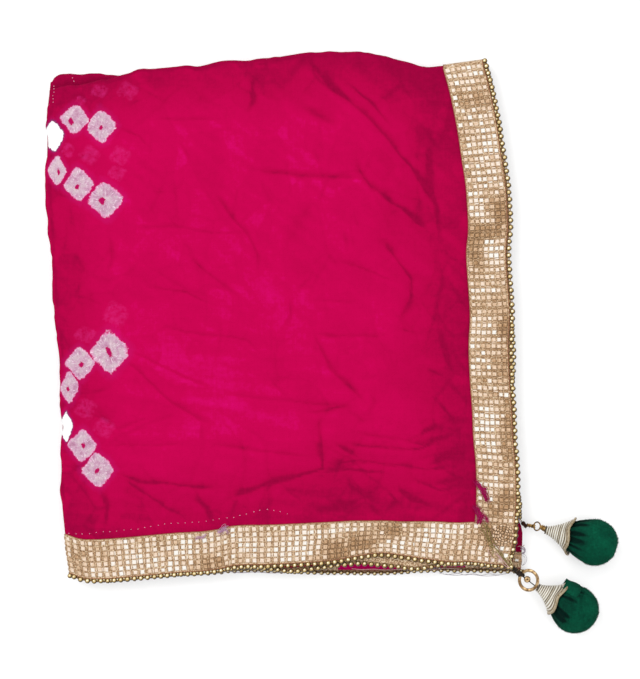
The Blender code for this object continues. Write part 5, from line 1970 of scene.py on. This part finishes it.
def make_stage(settings):
    """Pale floor, soft lights and the camera straight above."""
    material, tree = new_material("matt_paper", "#fbfbfb", 0.95, Emission_Color=(1, 1, 1, 1),
                                  Emission_Strength=settings.underlight)
    grain = noise_of(tree, 40.0, 2.0, 0.5)
    finished(material, ramp(tree, grain, (0.3, "#fafafa"), (0.7, "#fdfdfd")))
    mesh = bpy.data.meshes.new("floor")
    mesh.from_pydata([(x * FLOOR_HALF, y * FLOOR_HALF, -FLOOR_GAP)
                      for x, y in ((-1, -1), (1, -1), (1, 1), (-1, 1))], [], [(0, 1, 2, 3)])
    mesh.materials.append(material)
    add_object("floor", mesh)

    world = bpy.data.worlds.new("studio")
    bpy.context.scene.world = world
    world.use_nodes = True
    back = world.node_tree.nodes["Background"]
    back.inputs[0].default_value = (1, 1, 1, 1)
    back.inputs[1].default_value = settings.surround

    for name, spot, wide, power in (
        ("softbox_left", (-1.1, 1.0, 1.7), 1.6, settings.softbox),
        ("softbox_right", (1.3, -0.5, 1.9), 1.6, settings.softbox * 0.45),
    ):
        light = bpy.data.lights.new(name, "AREA")
        light.shape = "SQUARE"
        light.size = wide
        light.energy = power
        lamp = add_object(name, light)
        lamp.location = spot
        lamp.rotation_mode = "QUATERNION"
        lamp.rotation_quaternion = (Vector((0, 0, 0)) - Vector(spot)).to_track_quat("-Z", "Y")
        lamp.visible_camera = False

    camera = bpy.data.cameras.new("camera")    # looks straight down
    camera.sensor_width = SENSOR
    camera.lens = SENSOR * (CAMERA_HEIGHT - SHARP_HEIGHT) / (PHOTO_HIGH * UNIT)
    camera.clip_end = 100.0
    eye = add_object("camera", camera)
    eye.location = place(PHOTO_WIDE / 2, PHOTO_HIGH / 2, CAMERA_HEIGHT)
    bpy.context.scene.camera = eye
    bpy.context.scene.view_settings.view_transform = "Standard"


# add-on
def colour_setting(name, description, code):
    return bpy.props.FloatVectorProperty(name=name, description=description, subtype="COLOR",
                                         default=linear(code))


def number_setting(name, description, value, unit="NONE"):
    return bpy.props.FloatProperty(name=name, description=description, default=value, unit=unit)


class ClothSettings(bpy.types.PropertyGroup):
    """Sizes and colours of the cloth"""
    pink: colour_setting("Dye", "Dyed cloth where it lies flat", "#c80050")
    # colour of the painted shade in the creases
    crease_shade_pink: colour_setting("Crease shade", "Painted shade in the creases", "#8e0036")
    cut_width: number_setting("Cut width", "Width of the cloth before folding", 0.9, "LENGTH")
    cut_length: number_setting("Cut length", "Length of the cloth before folding", 2.0,
                               "LENGTH")


class LaceSettings(bpy.types.PropertyGroup):
    """Colours of the lace and the beads"""
    foil: colour_setting("Foil", "Middle tone of the foil cells", "#e6c3a0")
    bead_gold: colour_setting("Beads", "Gold of the bead edging", "#bd9a52")


class TasselSettings(bpy.types.PropertyGroup):
    """Colours of the tassels"""
    velvet: colour_setting("Velvet", "Velvet of the balls", "#054a36")
    champagne: colour_setting("Zari", "Thread wound on the caps", "#ded4bd")


class StageSettings(bpy.types.PropertyGroup):
    """Lights of the stage"""
    softbox: number_setting("Softbox", "Power of the main softbox", 30.0, "POWER")
    surround: number_setting("Surround", "Strength of the white surround", 1.50)
    underlight: number_setting("Underlight", "Light that comes through the paper", 0.312)


class DUPATTA_OT_stage(bpy.types.Operator):
    """Adds the floor, the lights and the camera"""
    bl_idname = "dupatta.stage"
    bl_label = "Stage"

    def execute(self, context):
        make_stage(context.scene.dupatta_stage)
        return {"FINISHED"}


class DUPATTA_OT_cloth(bpy.types.Operator):
    """Adds the folded tie-dyed cloth and its hem stitches"""
    bl_idname = "dupatta.cloth"
    bl_label = "Cloth"

    def execute(self, context):
        settings = context.scene.dupatta_cloth
        sheet = make_cloth(settings)
        stitches = make_stitches()
        return {"FINISHED"}


class DUPATTA_OT_lace(bpy.types.Operator):
    """Adds the foil lace and the bead edging"""
    bl_idname = "dupatta.lace"
    bl_label = "Lace and beads"

    def execute(self, context):
        make_lace_and_beads(context.scene.dupatta_lace)
        return {"FINISHED"}


class DUPATTA_OT_tassels(bpy.types.Operator):
    """Adds the two velvet tassels with their links"""
    bl_idname = "dupatta.tassels"
    bl_label = "Tassels"

    def execute(self, context):
        make_tassels(context.scene.dupatta_tassels)
        return {"FINISHED"}


class DUPATTA_PT_panel(bpy.types.Panel):
    """Lists the pieces and their settings"""
    bl_idname = "DUPATTA_PT_panel"
    bl_label = "Folded Dupatta"
    bl_space_type = "VIEW_3D"
    bl_region_type = "UI"
    bl_category = "Dupatta"

    def draw(self, context):
        for group, idname in GROUPS:
            box = self.layout.box()
            box.operator(idname)
            settings = getattr(context.scene, group)
            for key in settings.bl_rna.properties.keys():
                if key not in ("rna_type", "name"):
                    box.prop(settings, key)


GROUPS = (
    ("dupatta_stage", "dupatta.stage"),
    ("dupatta_cloth", "dupatta.cloth"),
    ("dupatta_lace", "dupatta.lace"),
    ("dupatta_tassels", "dupatta.tassels"),
)
SETTINGS = (
    ("dupatta_cloth", ClothSettings), ("dupatta_lace", LaceSettings),
    ("dupatta_tassels", TasselSettings), ("dupatta_stage", StageSettings),
)
CLASSES = (
    ClothSettings, LaceSettings, TasselSettings, StageSettings, DUPATTA_OT_stage,
    DUPATTA_OT_cloth, DUPATTA_OT_lace, DUPATTA_OT_tassels, DUPATTA_PT_panel,
)


def register():
    for cls in CLASSES:
        bpy.utils.register_class(cls)
    for name, cls in SETTINGS:
        setattr(bpy.types.Scene, name, bpy.props.PointerProperty(type=cls))


def unregister():
    for name, _ in SETTINGS:
        delattr(bpy.types.Scene, name)
    for cls in reversed(CLASSES):
        bpy.utils.unregister_class(cls)


def main():
    register()
    bpy.ops.dupatta.stage()
    bpy.ops.dupatta.cloth()
    bpy.ops.dupatta.lace()
    bpy.ops.dupatta.tassels()


if __name__ == "__main__":
    main()
